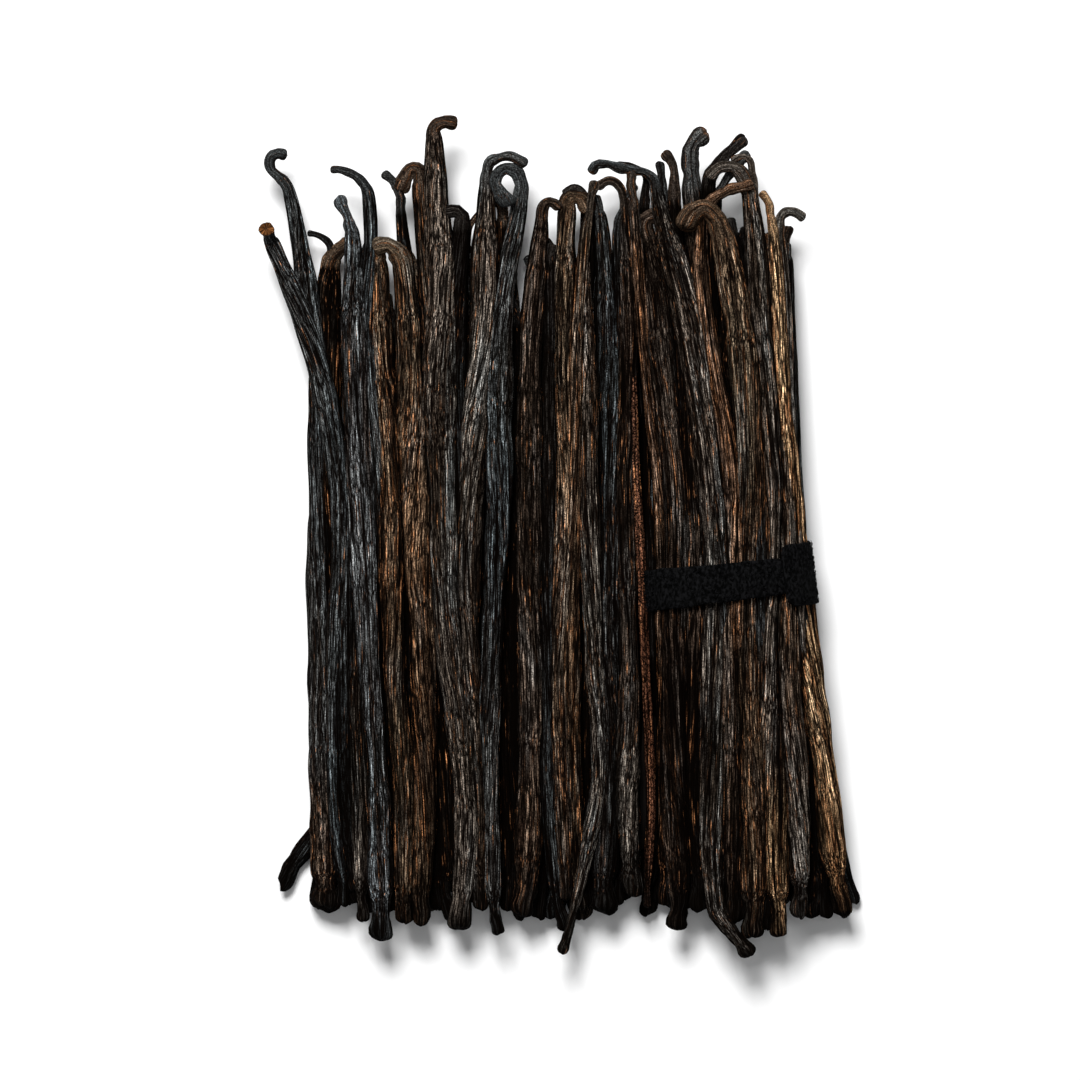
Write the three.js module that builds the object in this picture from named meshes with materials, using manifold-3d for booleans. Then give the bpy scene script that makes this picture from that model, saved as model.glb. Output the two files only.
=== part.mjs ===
// A bundle of cured vanilla pods lying flat. Most lie loose side by side; the rest are gathered
// into an oval hank by a hook-and-loop strap. Millimetres, +Z up, pods along Y with the hooked
// stem ends towards +Y.
import * as THREE from "three";
import { mergeVertices } from "three/addons/utils/BufferGeometryUtils.js";
import Module from "manifold-3d";

const wasm = await Module();
wasm.setup();

// ---- Driving dimensions -------------------------------------------------------------------
const STEP = 0.25; // mm, one step of the layout grid that the pods are laid out on
const CROSS_LINES = [800, 640, 480, 320]; // steps down the sheet, where a pod's place is given
const LOW_LINE = 760; // steps down the sheet, where a pod's low width and lift hold
const HIGH_LINE = 400; // steps down the sheet, where a pod's high width and lift hold
const LINE_MARGIN = 20; // steps, crossings nearer than this to an end are left out
const POD_FLATNESS = 0.78; // thickness of a pod over its width
const HOOK_FLATNESS = 0.95; // the same in its hook, which is nearly round
const MIN_THICKNESS = 2.2; // mm, thickness of the thinnest stretch of a body
const TIP_LENGTH = 0.8; // length of a blossom end's rounding over its half width
const TIP_WIDTH = 0.86; // width where that rounding starts over the full width
const NUB_LENGTH = 0.9; // length of the swelling at a stem scar over the hook's half width
const NUB_SWELL = 1.3; // its width over the hook's
const NUB_CROWN = 0.5; // height of the scar's rounding over the swelling's half width
const HOOK_TAPER = 0.82; // width at the end of a hook over the neck's
const HEEL_TAPER = 0.62; // width at the end of a bent foot over the foot's
const FOOT_TAPER = 0.8; // width just above the blossom end over the low width
const HOOK_LIFT = 0.035; // mm that a hook rises for each step of its length
const TURN_PER_RING = 55; // degrees of bend between two rings of a hook
const POD_SIDES = 6;
const LOWER_SIDES = 5;
const COVERED_LIFT = -3; // mm, pods this far under the skin are covered by others
const FLOOR_GAP = 0.4; // mm, room under a pod that lies beside the core's flat underside

const HEAP_LEFT = 303; // steps, left foot of the loose heap
const HEAP_RIGHT = 672; // steps, where the loose heap runs out under the hank
const HEAP_LEFT_ROUND = 70; // steps, how far in the left edge stays rounded
const HEAP_RIGHT_ROUND = 44;
const HEAP_OVERHANG = 20; // steps, pods that reach out past the left edge lie as if this far in
const HEAP_HEIGHT = [[240, 12.5], [580, 16], [900, 12]]; // steps down, mm

const HANK_LEFT = [[240, 652], [580, 649], [900, 664]]; // steps down, steps across
const HANK_RIGHT = [[240, 792], [580, 803], [900, 850]];
const HANK_HALF_HEIGHT = [[240, 8.5], [580, 10.4], [900, 7.6]]; // steps down, mm
const HANK_GROUND = [[240, 0], [480, 2], [680, 2], [900, 0]]; // steps down, mm off the floor
const HANK_ROUNDNESS = 2.2; // exponent of the hank's oval, 2 is an ellipse

const STRAP_LINE = 582; // steps down the sheet, the strap's middle at the top of the hank
const STRAP_WIDTH = 9.6; // mm
const STRAP_THICKNESS = 1.3; // mm
const STRAP_TILT = 6.5; // degrees, the band runs down towards the loose heap
const STRAP_GAP = 0.3; // mm between the strap and the pods
const STRAP_REACH = 36; // steps from the strap's middle where the pods lie tight
const STRAP_FREE = 70; // steps beyond that over which they come free
const HEAD_WIDTH = 15.6; // mm, the wide end that the band is pulled through
const HEAD_THICKNESS = 1.5; // mm, on top of the band
const HEAD_SPAN = [-50, 42]; // degrees round the hank's right side, from below to above
const SECTION_POINTS = 28;

const LOWER_SPACING = 33; // steps between the pods of the lowest layer
const LOWER_WIDTHS = [23, 23, 12]; // steps
const LOWER_HEIGHT = 2.3; // mm, centre of that layer
const LOWER_ENDS = [12, 16]; // steps that it stops short of the core's right, and of the heap's left
const RIM_ANGLES = [205, 240, 270, 300, 330, 358]; // degrees round the hank, its hidden rim
const RIM_WIDTHS = [24, 24, 12]; // steps
const RIM_INSET = 9.6; // steps from the oval's side to the middle of a pod on it
const CORE_INSET = 2.9; // mm, how far the core stays below the tops of the pods
const CORE_LINES = [300, 440, 582, 740, 870]; // steps down the sheet, sections of the cores
const CORE_LEFT = 332; // steps, ends of the loose heap's core
const CORE_RIGHT = 668;
const HEAP_CORE_TOPS = 8;
const HANK_CORE_POINTS = 14;
const FLOOR_BLOCK = [400, 400, 80]; // mm, larger than the bundle
const WELD = 1e-4; // mm
const SEED = 20;

const POD_COLOUR = "#2b1d16";
const STRAP_COLOUR = "#141416";

// ---- Helpers ------------------------------------------------------------------------------
const clamp01 = (v) => Math.min(1, Math.max(0, v));
const smooth = (v) => clamp01(v) ** 2 * (3 - 2 * clamp01(v));
const mix = (a, b, t) => a + (b - a) * t;

// The value at `x` of a line through [x, value] pairs, held past its ends.
function along(pairs, x) {
  const next = pairs.findIndex(([at]) => at > x);
  if (next === -1) return pairs.at(-1)[1];
  if (next === 0) return pairs[0][1];
  const [x0, v0] = pairs[next - 1];
  const [x1, v1] = pairs[next];
  return mix(v0, v1, (x - x0) / (x1 - x0));
}

let state = SEED;
// A repeatable draw between `low` and `high`.
function draw(low, high) {
  state = (state * 1664525 + 1013904223) % 2 ** 32;
  return mix(low, high, state / 2 ** 32);
}

// ---- The heap's outline -------------------------------------------------------------------
// The hank's oval where it crosses a line `down` the sheet: centre and half sizes.
function hankAt(down) {
  const left = along(HANK_LEFT, down);
  const right = along(HANK_RIGHT, down);
  const rise = along(HANK_HALF_HEIGHT, down);
  return {
    middle: (left + right) / 2,
    reach: (right - left) / 2,
    rise,
    height: rise + along(HANK_GROUND, down),
  };
}

// A point on an oval of half sizes `reach` and `rise` at an angle in degrees.
function ovalPoint(reach, rise, degrees) {
  const c = Math.cos(THREE.MathUtils.degToRad(degrees));
  const s = Math.sin(THREE.MathUtils.degToRad(degrees));
  const size = (Math.abs(c) ** HANK_ROUNDNESS + Math.abs(s) ** HANK_ROUNDNESS) ** (-1 / HANK_ROUNDNESS);
  return [reach * c * size, rise * s * size];
}

// Height in mm of the top of all the pods at a place on the sheet.
function skin(across, down) {
  const rounded = (u) => Math.sqrt(1 - (1 - clamp01(u)) ** 2);
  const loose =
    along(HEAP_HEIGHT, down) *
    rounded((across - HEAP_LEFT) / HEAP_LEFT_ROUND) *
    rounded((HEAP_RIGHT - across) / HEAP_RIGHT_ROUND);
  const hank = hankAt(down);
  const u = Math.abs(across - hank.middle) / hank.reach;
  if (u >= 1) return loose;
  return Math.max(loose, hank.height + hank.rise * (1 - u ** HANK_ROUNDNESS) ** (1 / HANK_ROUNDNESS));
}

// ---- Pods ---------------------------------------------------------------------------------
// foot: [across, down] of the blossom end; crossings: across at each of the CROSS_LINES;
// neck: [across, down] where the hook starts; widths: low, high and neck, in steps; lifts: low
// and high, in mm above the heap's skin; hook and heel: pairs of length and turn, in steps and
// degrees, positive to +X.
const pod = (foot, crossings, neck, widths, lifts, hook, heel = []) => ({
  foot, crossings, neck, widths, lifts, hook, heel,
});
const isCovered = ({ lifts }) => lifts[0] <= COVERED_LIFT;

const LAID_PODS = [
  // loose pods, from the left
  pod([282, 882], [334, 350, 356, 356], [356, 400], [18, 16, 12], [-20, -20], [12, 0]),
  pod([327, 900], [323, 323, 321, 318], [318, 372], [25, 24, 16], [0, -1], [12, 0]),
  pod([345, 902], [337, 336, 345, 316], [290, 195], [17, 21, 11], [-0.5, 0.5], [30, -45, 25, 160]),
  pod([352, 885], [350, 347, 339, 303], [272, 243], [20, 24, 13], [-2, 2], [14, 0]),
  pod([372, 905], [370, 362, 350, 338], [333, 255], [18, 16, 9], [-4, -3], [34, -90]),
  pod([357, 895], [354, 348, 340, 328], [325, 268], [18, 18, 17], [-4, -0.8], [26, 60]),
  pod([381, 930], [380, 370, 361, 354], [351, 237], [22, 27, 12], [0.5, 1], [14, -8, 22, -30]),
  pod([361, 916], [359, 357, 356, 353], [352, 300], [18, 16, 10], [-0.6, -4], [14, 0]),
  pod([392, 905], [390, 384, 376, 367], [368, 200], [18, 14, 10], [-4, 0], [48, -95]),
  pod([403, 915], [403, 393, 387, 381], [379, 262], [18, 21, 12], [0, -0.5], [20, -10]),
  pod([418, 920], [426, 423, 414, 407], [403, 268], [21, 23, 18], [0.3, 0.5], [26, -50, 10, -60]),
  pod([434, 905], [436, 431, 420, 408], [401, 215], [18, 18, 10], [-4, -1], [20, 0, 24, -50]),
  pod([444, 915], [442, 438, 434, 430], [421, 188], [18, 15, 13], [-4, -1], [13, -10, 12, -150, 9, 0]),
  pod([461, 920], [465, 447, 440, 439], [434, 140], [21, 36, 14], [0.6, 1.2], [8, 4, 21, 105]),
  pod([474, 895], [476, 462, 460, 461], [462, 232], [18, 18, 16], [-1, -0.5], [14, 0, 14, -110]),
  pod([486, 900], [484, 476, 470, 474], [478, 232], [16, 12, 7], [-4, -3], [22, -40]),
  pod([480, 905], [480, 471, 471, 481], [486, 185], [20, 22, 11], [0.2, 0.4], [6, 0, 26, 90]),
  pod([509, 905], [506, 502, 500, 502], [503, 225], [18, 16, 11], [-4, -3], [20, -10, 10, -80]),
  pod([495, 930], [492, 491, 498, 502], [515, 205], [14, 22, 12], [0.6, 0.8],
    [16, 0, 16, -40, 26, -165, 12, -20]),
  pod([526, 908], [530, 530, 530, 530], [530, 205], [21, 23, 9], [0.2, 0.3], [14, 0]),
  pod([560, 925], [547, 547, 549, 546], [542, 222], [15, 15, 12], [-0.5, -0.5], [14, 0, 20, 130]),
  pod([540, 915], [541, 542, 543, 540], [541, 260], [18, 18, 12], [-4.5, -4], [16, 0]),
  pod([566, 895], [562, 561, 566, 566], [567, 208], [17, 24, 18], [0.3, 0.8], [3, 5, 25, 150]),
  pod([585, 900], [582, 577, 578, 582], [588, 205], [18, 18, 10], [-4, -1], [14, -45, 16, -85]),
  pod([577, 905], [574, 572, 576, 577], [586, 232], [14, 12, 10], [-0.8, 1], [42, 5]),
  pod([581, 880], [597, 593, 590, 587], [585, 285], [15, 21, 10], [0.5, -0.3], [20, 0], [72, -6]),
  pod([602, 905], [607, 609, 613, 606], [600, 215], [25, 21, 12], [-0.3, -0.5], [16, -10]),
  pod([617, 900], [616, 615, 619, 622], [617, 240], [16, 14, 9], [-4, -0.5], [20, 12, 34, 36]),
  pod([631, 888], [627, 627, 625, 627], [625, 218], [23, 21, 11], [0.2, 0.5], [22, -5, 32, -120]),
  pod([647, 905], [652, 646, 637, 630], [628, 290], [11, 10, 8], [0.8, -0.3], [20, 0]),
  // pods of the hank, from the left
  pod([668, 900], [664, 664, 659, 643], [634, 215], [16, 14, 11], [-4, 1.5], [36, 3]),
  pod([658, 900], [656, 655, 650, 650], [645, 212], [18, 16, 9], [-4, -2], [30, 8, 14, -60, 20, -40]),
  pod([681, 922], [673, 676, 675, 661], [649, 243], [25, 27, 18], [0.2, 0.5], [12, -10, 18, 90, 10, 0]),
  pod([690, 905], [686, 688, 684, 672], [664, 200], [16, 14, 9], [-4, -2], [32, -2]),
  pod([716, 905], [710, 712, 709, 687], [657, 195], [20, 23, 10], [0.5, 0.8],
    [12, 10, 19, -85, 18, 5, 15, 20, 10, -30, 8, -60], [12, 34, 42, 0]),
  pod([700, 905], [695, 695, 692, 682], [674, 205], [16, 16, 13], [-0.8, -0.5], [24, 4, 14, -10, 10, -35]),
  pod([735, 915], [731, 728, 727, 703], [692, 195], [18, 17, 17], [-0.5, 0], [28, 0, 15, 15, 16, 90]),
  pod([722, 900], [724, 722, 712, 708], [708, 190], [16, 14, 11], [-4, -2], [24, 35, 34, 20]),
  pod([742, 905], [738, 735, 730, 706], [702, 228], [16, 16, 14], [-1, 0.8], [14, 30, 20, 25, 32, 25]),
  pod([754, 928], [749, 742, 747, 732], [717, 250], [22, 23, 21], [0.6, 1.2],
    [24, 5, 20, -40, 24, -80, 10, -30]),
  pod([770, 925], [764, 757, 757, 747], [741, 215], [16, 14, 9], [-0.8, -0.5], [12, 0]),
  pod([785, 928], [781, 768, 770, 760], [750, 200], [20, 18, 14], [0.2, -0.4], [18, -15, 42, -120]),
  pod([803, 905], [797, 786, 782, 772], [766, 250], [20, 14, 8], [-0.3, -1.5], [12, 0]),
  pod([815, 912], [808, 795, 778, 760], [755, 205], [17, 12, 8], [-4, -2], [38, -3, 24, -130]),
  pod([846, 905], [826, 803, 790, 779], [774, 238], [23, 12, 9], [0.6, 0.4], [26, -10, 18, -20]),
  pod([828, 915], [816, 800, 793, 786], [780, 245], [18, 13, 10], [-1, -0.3], [22, 0, 22, 120, 8, 15]),
  pod([853, 900], [832, 806, 797, 792], [790, 262], [16, 10, 7], [-4, -1], [16, 0]),
];

// Points of a path that starts at `from` with a heading in degrees off the pods' own direction,
// `way` is -1 towards the hooks and 1 towards the feet.
function turned(from, heading, pairs, way) {
  const points = [];
  let [across, down] = from;
  for (let i = 0; i < pairs.length; i += 2) {
    const rings = Math.max(1, Math.ceil(Math.abs(pairs[i + 1]) / TURN_PER_RING));
    for (let ring = 0; ring < rings; ring++) {
      const half = THREE.MathUtils.degToRad(heading + pairs[i + 1] / rings / 2);
      across += (pairs[i] / rings) * Math.sin(half);
      down += (pairs[i] / rings) * Math.cos(half) * way;
      heading += pairs[i + 1] / rings;
      points.push([across, down]);
    }
  }
  return points;
}

// Degrees off the pods' own direction of the way between two places on the sheet.
function headingOf([x0, y0], [x1, y1]) {
  return THREE.MathUtils.radToDeg(Math.atan2(x1 - x0, Math.abs(y1 - y0)));
}

// Places of a pod's body from foot to neck. A covered pod is told by its ends alone.
function bodyOf({ foot, crossings, neck, covered }) {
  const lines = CROSS_LINES.map((down, i) => [crossings[i], down]).filter(([across, down], i) =>
    across !== undefined &&
    down < foot[1] - LINE_MARGIN &&
    down > neck[1] + LINE_MARGIN &&
    (!covered || i === 0 || i === CROSS_LINES.length - 1));
  return [foot, ...lines, neck];
}

// Stations of a pod from its blossom end to its stem scar: centre in mm and half sizes.
function stationsOf(each) {
  const { foot, neck, widths: [low, high, neckWidth], lifts, hook, heel, place } = each;
  const body = bodyOf({ ...each, covered: isCovered(each) && !place });
  const heelPoints = turned(foot, headingOf(body[1], foot), heel, 1);
  const hookPoints = turned(neck, headingOf(body.at(-2), neck), hook, -1);
  const hookLength = hook.reduce((sum, v, i) => (i % 2 ? sum : sum + v), 0);
  const widths = [[neck[1], neckWidth], [HIGH_LINE, high], [LOW_LINE, low], [foot[1], low * FOOT_TAPER]];
  const path = [...heelPoints.toReversed(), ...body, ...hookPoints];
  return withEnds(path.map(([across, down], i) => {
    const intoHook = Math.max(0, i - heelPoints.length - body.length + 1) / Math.max(1, hookPoints.length);
    const intoHeel = Math.max(0, heelPoints.length - i) / Math.max(1, heelPoints.length);
    const full = intoHook ? mix(neckWidth, neckWidth * HOOK_TAPER, intoHook) : along(widths, down);
    const halfWidth = (full * mix(1, HEEL_TAPER, intoHeel) * STEP) / 2;
    const halfThick = intoHook
      ? halfWidth * HOOK_FLATNESS
      : Math.max(halfWidth * POD_FLATNESS, MIN_THICKNESS / 2);
    const lift = mix(lifts[1], lifts[0], smooth((down - HIGH_LINE) / (LOW_LINE - HIGH_LINE)));
    const fromStrap = Math.abs(down - STRAP_LINE) - STRAP_REACH;
    const free = across > HANK_LEFT[1][1] ? smooth(fromStrap / STRAP_FREE) : 1;
    const over = Math.max(intoHook ? neck[0] : across, HEAP_LEFT + HEAP_OVERHANG);
    const [x, z] = place
      ? place(down, halfThick, across)
      : [across, skin(over, Math.min(down, foot[1])) - halfThick + lift * free];
    const height = Math.max(halfThick + FLOOR_GAP, z + intoHook * hookLength * HOOK_LIFT);
    return { at: new THREE.Vector3(x * STEP, -down * STEP, height), halfWidth, halfThick };
  }));
}

// Adds the blossom end's rounding and the stem scar's nub to a row of stations.
function withEnds(stations) {
  const stretch = (end, inner, length, swell) => {
    const way = end.at.clone().sub(inner.at).normalize();
    return {
      at: end.at.clone().addScaledVector(way, length),
      halfWidth: end.halfWidth * swell,
      halfThick: end.halfThick * swell,
    };
  };
  const [first, second] = stations;
  const last = stations.at(-1);
  const before = stations.at(-2);
  const nub = stretch(last, before, last.halfWidth * NUB_LENGTH, NUB_SWELL);
  return [
    stretch(first, second, first.halfWidth * TIP_LENGTH, 0),
    { ...first, halfWidth: first.halfWidth * TIP_WIDTH },
    ...stations.slice(1),
    nub,
    stretch(nub, last, nub.halfWidth * NUB_CROWN, 0),
  ];
}

// A lathe bent along a row of stations: one ring for each station, its ends closed on the axis.
function bentLathe(stations, sides) {
  const profile = stations.map((station, i) => new THREE.Vector2(station.halfWidth > 0 ? 1 : 0, i));
  const geometry = new THREE.LatheGeometry(profile, sides, Math.PI / sides);
  const up = new THREE.Vector3(0, 0, 1);
  const frames = stations.map(({ at }, i) => {
    const ahead = stations[Math.min(i + 1, stations.length - 1)].at;
    const behind = stations[Math.max(i - 1, 0)].at;
    const tangent = ahead.clone().sub(behind).normalize();
    const side = tangent.clone().cross(up).normalize();
    return { at, side, top: side.clone().cross(tangent) };
  });
  const position = geometry.getAttribute("position");
  for (let v = 0; v < position.count; v++) {
    const ring = Math.round(position.getY(v));
    const { halfWidth, halfThick } = stations[ring];
    const { at, side, top } = frames[ring];
    const place = at.clone()
      .addScaledVector(side, position.getX(v) * halfWidth)
      .addScaledVector(top, position.getZ(v) * halfThick);
    position.setXYZ(v, place.x, place.y, place.z);
  }
  return geometry;
}

// Straight pods of the loose heap's lowest layer, spread evenly, with a small draw each.
function lowerPods() {
  const pods = [];
  const [right, left] = LOWER_ENDS;
  for (let across = HEAP_LEFT + left; across < CORE_RIGHT - right; across += LOWER_SPACING) {
    const foot = [across + draw(-5, 5), draw(886, 912)];
    const neck = [across + draw(-7, 7), draw(250, 292)];
    pods.push({
      ...pod(foot, [], neck, LOWER_WIDTHS, [COVERED_LIFT, COVERED_LIFT], [draw(14, 24), draw(-40, 40)]),
      place: (down, halfThick, at) => [at, Math.max(LOWER_HEIGHT, halfThick)],
    });
  }
  return pods;
}

// Pods round the sides and the underside of the hank, evenly round its oval.
function rimPods() {
  return RIM_ANGLES.map((angle) => ({
    ...pod([0, draw(885, 912)], [0, 0, 0, 0], [0, draw(240, 285)], RIM_WIDTHS,
      [COVERED_LIFT, COVERED_LIFT], [draw(12, 22), 0]),
    place: (down, halfThick) => {
      const hank = hankAt(down);
      const [x, z] = ovalPoint(hank.reach - RIM_INSET, hank.rise - halfThick, angle);
      return [hank.middle + x, hank.height + z];
    },
  }));
}

// ---- Solids -------------------------------------------------------------------------------
// A closed geometry as a solid.
function solid(geometry) {
  const bare = geometry.index ? geometry.toNonIndexed() : geometry.clone();
  bare.deleteAttribute("normal");
  bare.deleteAttribute("uv");
  const merged = mergeVertices(bare, WELD);
  const corners = [];
  for (let i = 0; i < merged.index.count; i += 3) {
    const [a, b, c] = [0, 1, 2].map((k) => merged.index.getX(i + k));
    if (a !== b && b !== c && c !== a) corners.push(a, b, c);
  }
  const made = (triVerts) => new wasm.Manifold(new wasm.Mesh({
    numProp: 3,
    vertProperties: merged.attributes.position.array,
    triVerts: new Uint32Array(triVerts),
  }));
  const outward = made(corners);
  return outward.volume() > 0 ? outward : made(corners.toReversed());
}

// A solid as a mesh's geometry.
function geometryOf(shape) {
  const mesh = shape.getMesh();
  const geometry = new THREE.BufferGeometry();
  geometry.setAttribute("position", new THREE.BufferAttribute(new Float32Array(mesh.vertProperties), 3));
  geometry.setIndex(new THREE.BufferAttribute(new Uint32Array(mesh.triVerts), 1));
  return geometry;
}

// The hank's section at the strap as a closed outline, grown by `by` mm all round.
function strapOutline(by, from = 0, to = 360) {
  const hank = hankAt(STRAP_LINE);
  const points = [];
  for (let i = 0; i <= SECTION_POINTS; i++) {
    const [x, z] = ovalPoint(hank.reach * STEP + by, hank.rise + by, mix(from, to, i / SECTION_POINTS));
    points.push(new THREE.Vector2(hank.middle * STEP + x, hank.height + z));
  }
  return points;
}

// A ring or an open stretch of ring round the hank, `width` wide along the pods.
function wrap(inner, outer, width, span) {
  const outside = strapOutline(outer, ...(span ?? [0, 360]));
  const inside = strapOutline(inner, ...(span ?? [0, 360]));
  const shape = new THREE.Shape(span ? [...outside, ...inside.toReversed()] : outside.slice(1));
  if (!span) shape.holes.push(new THREE.Path(inside.slice(1)));
  const geometry = new THREE.ExtrudeGeometry(shape, { depth: width, bevelEnabled: false });
  geometry.rotateX(Math.PI / 2);
  geometry.translate(0, width / 2, 0);
  const middle = hankAt(STRAP_LINE).middle * STEP;
  geometry.translate(-middle, 0, 0);
  geometry.rotateZ(THREE.MathUtils.degToRad(STRAP_TILT));
  geometry.translate(middle, -STRAP_LINE * STEP, 0);
  return solid(geometry);
}

// The strap, and the room that the pods leave for it.
const bandOuter = STRAP_GAP + STRAP_THICKNESS;
const headOuter = bandOuter + HEAD_THICKNESS;
const strapSolid = wrap(STRAP_GAP, bandOuter, STRAP_WIDTH)
  .add(wrap(STRAP_GAP + STRAP_THICKNESS / 2, headOuter, HEAD_WIDTH, HEAD_SPAN));
const strapRoom = wrap(0, bandOuter + STRAP_GAP, STRAP_WIDTH + 2 * STRAP_GAP)
  .add(wrap(0, headOuter + STRAP_GAP, HEAD_WIDTH + 2 * STRAP_GAP, HEAD_SPAN));

// A closed prism through outlines at each of the CORE_LINES, all with as many points.
function coreThrough(outlineAt, count) {
  const profile = [0, ...CORE_LINES.map(() => 1), 0].map((radius, i) => new THREE.Vector2(radius, i));
  const geometry = new THREE.LatheGeometry(profile, count);
  const position = geometry.getAttribute("position");
  const middles = CORE_LINES.map((down) => {
    const points = outlineAt(down);
    return points.reduce((sum, [x, z]) => [sum[0] + x / count, sum[1] + z / count], [0, 0]);
  });
  for (let v = 0; v < position.count; v++) {
    const ring = Math.round(position.getY(v));
    const line = THREE.MathUtils.clamp(ring - 1, 0, CORE_LINES.length - 1);
    const turn = Math.atan2(position.getX(v), position.getZ(v)) / (2 * Math.PI);
    const corner = Math.round((turn + 1) * count) % count;
    const [x, z] = ring === line + 1 ? outlineAt(CORE_LINES[line])[corner] : middles[line];
    position.setXYZ(v, x, -CORE_LINES[line] * STEP, z);
  }
  return solid(geometry);
}

// The filling of the loose heap: flat underneath, a set depth under the pods' tops above.
function heapCore() {
  return coreThrough((down) => {
    const tops = [];
    for (let i = 0; i < HEAP_CORE_TOPS; i++) {
      const across = mix(CORE_LEFT, CORE_RIGHT, i / (HEAP_CORE_TOPS - 1));
      tops.push([across * STEP, skin(Math.min(across, HEAP_RIGHT - HEAP_RIGHT_ROUND), down) - CORE_INSET]);
    }
    return [...tops, [CORE_RIGHT * STEP, 0], [CORE_LEFT * STEP, 0]];
  }, HEAP_CORE_TOPS + 2);
}

// The filling of the hank, an oval prism that follows its spread.
function hankCore() {
  return coreThrough((down) => {
    const hank = hankAt(down);
    const reach = hank.reach * STEP - CORE_INSET;
    return Array.from({ length: HANK_CORE_POINTS }, (_, i) => {
      const [x, z] = ovalPoint(reach, hank.rise - CORE_INSET, (-360 * i) / HANK_CORE_POINTS);
      return [hank.middle * STEP + x, hank.height + z];
    });
  }, HANK_CORE_POINTS);
}

// Everything above the floor.
function aboveFloor() {
  const [width, length, height] = FLOOR_BLOCK;
  const geometry = new THREE.BoxGeometry(width, length, height);
  geometry.translate(width / 2, -length / 2, height / 2);
  return solid(geometry);
}

const podSolids = [...LAID_PODS, ...lowerPods(), ...rimPods()]
  .map((each) => solid(bentLathe(stationsOf(each), isCovered(each) ? LOWER_SIDES : POD_SIDES)));
const fused = [heapCore(), hankCore(), ...podSolids]
  .reduce((all, each) => all.add(each))
  .subtract(strapRoom)
  .intersect(aboveFloor());
const podsSolid = fused.decompose().toSorted((a, b) => b.volume() - a.volume())[0];

// ---- The object ---------------------------------------------------------------------------
const pods = new THREE.Mesh(
  geometryOf(podsSolid),
  new THREE.MeshStandardMaterial({ color: POD_COLOUR, roughness: 0.5, metalness: 0 }),
);
pods.name = "pods";

const strap = new THREE.Mesh(
  geometryOf(strapSolid),
  new THREE.MeshStandardMaterial({ color: STRAP_COLOUR, roughness: 0.95, metalness: 0 }),
);
strap.name = "strap";

const bundle = new THREE.Group();
bundle.add(pods, strap);
const box = new THREE.Box3().setFromObject(bundle);
const centre = box.getCenter(new THREE.Vector3());
bundle.position.set(-centre.x, -centre.y, -box.min.z);

export default bundle;
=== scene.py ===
"""A bundle of cured vanilla pods: a loose heap of them side by side, and a hank of them held by a strap.

Every pod is its own closed, wrinkled form. The pods are joined into a few pieces by their place in
the bundle, over a dark core that fills what no eye reaches. Metres, +Z up, pods along Y with their
hooked stem ends towards +Y.
"""

import logging
import math
from collections.abc import Callable
from dataclasses import dataclass, field
from enum import Enum

import bpy
import numpy as np
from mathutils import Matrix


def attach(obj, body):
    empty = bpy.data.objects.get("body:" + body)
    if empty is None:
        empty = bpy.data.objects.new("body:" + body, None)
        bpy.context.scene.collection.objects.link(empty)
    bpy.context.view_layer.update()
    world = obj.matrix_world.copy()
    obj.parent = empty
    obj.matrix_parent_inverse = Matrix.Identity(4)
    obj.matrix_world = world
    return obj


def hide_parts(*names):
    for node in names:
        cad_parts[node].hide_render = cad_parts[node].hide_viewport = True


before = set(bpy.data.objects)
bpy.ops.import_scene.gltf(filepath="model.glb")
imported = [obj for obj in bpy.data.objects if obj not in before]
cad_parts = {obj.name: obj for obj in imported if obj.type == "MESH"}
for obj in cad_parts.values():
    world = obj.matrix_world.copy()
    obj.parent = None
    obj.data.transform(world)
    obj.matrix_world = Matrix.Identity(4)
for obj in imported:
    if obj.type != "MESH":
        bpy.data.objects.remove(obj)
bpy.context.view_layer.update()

LOG = logging.getLogger("vanilla_bundle")
ROOT = "root"
SEED = 20
MM = 0.001
Array = np.ndarray
Socket = bpy.types.NodeSocket
Item = bpy.types.Object
Material = bpy.types.Material

# The layout sheet: places are given in steps across it and down it.
STEP_MM = 0.25
STEP = STEP_MM * MM
SHEET_ORIGIN = (-139.579 * MM, 133.231 * MM)
CROSS_LINES = (800, 640, 480, 320)
LOW_LINE, HIGH_LINE = 760, 400
LINE_MARGIN = 20


def linear(colour: str) -> tuple[float, float, float]:
    """A colour such as "#2b1d16" as the linear numbers that shaders use.

    Args:
        colour: six hexadecimal digits after a #.

    Returns:
        Red, green and blue from 0 to 1.
    """
    parts = [int(colour[i:i + 2], 16) / 255 for i in (1, 3, 5)]
    return tuple(v / 12.92 if v <= 0.04045 else ((v + 0.055) / 1.055) ** 2.4 for v in parts)


def smooth(value: Array | float) -> Array | float:
    """A soft step from 0 to 1 for a value from 0 to 1."""
    t = np.clip(value, 0.0, 1.0)
    return t * t * (3 - 2 * t)


def averaged(values: Array, window: Array) -> Array:
    """Values along a line, each evened out over its neighbours with a window's weights."""
    padded = np.pad(values, len(window) // 2, mode="edge")
    return np.convolve(padded, window / window.sum(), mode="valid")


def stacked(*parts: Array | float) -> Array:
    """Values of rings and sides as one array, with a last axis for the parts."""
    return np.stack(np.broadcast_arrays(*parts), axis=-1)


def on_sheet(across: Array | float, down: Array | float) -> tuple:
    """X and Y in metres of places on the sheet."""
    return across * STEP + SHEET_ORIGIN[0], SHEET_ORIGIN[1] - down * STEP


def corners(mesh: bpy.types.Mesh) -> Array:
    """Where a mesh's vertices are, one row of X, Y and Z for each."""
    co = np.empty(len(mesh.vertices) * 3)
    mesh.vertices.foreach_get("co", co)
    return co.reshape(-1, 3)


def move_corners(mesh: bpy.types.Mesh, places: Array) -> None:
    """Moves a mesh's vertices to places in metres."""
    mesh.vertices.foreach_set("co", places.astype(np.float32).ravel())
    mesh.update()


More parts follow.
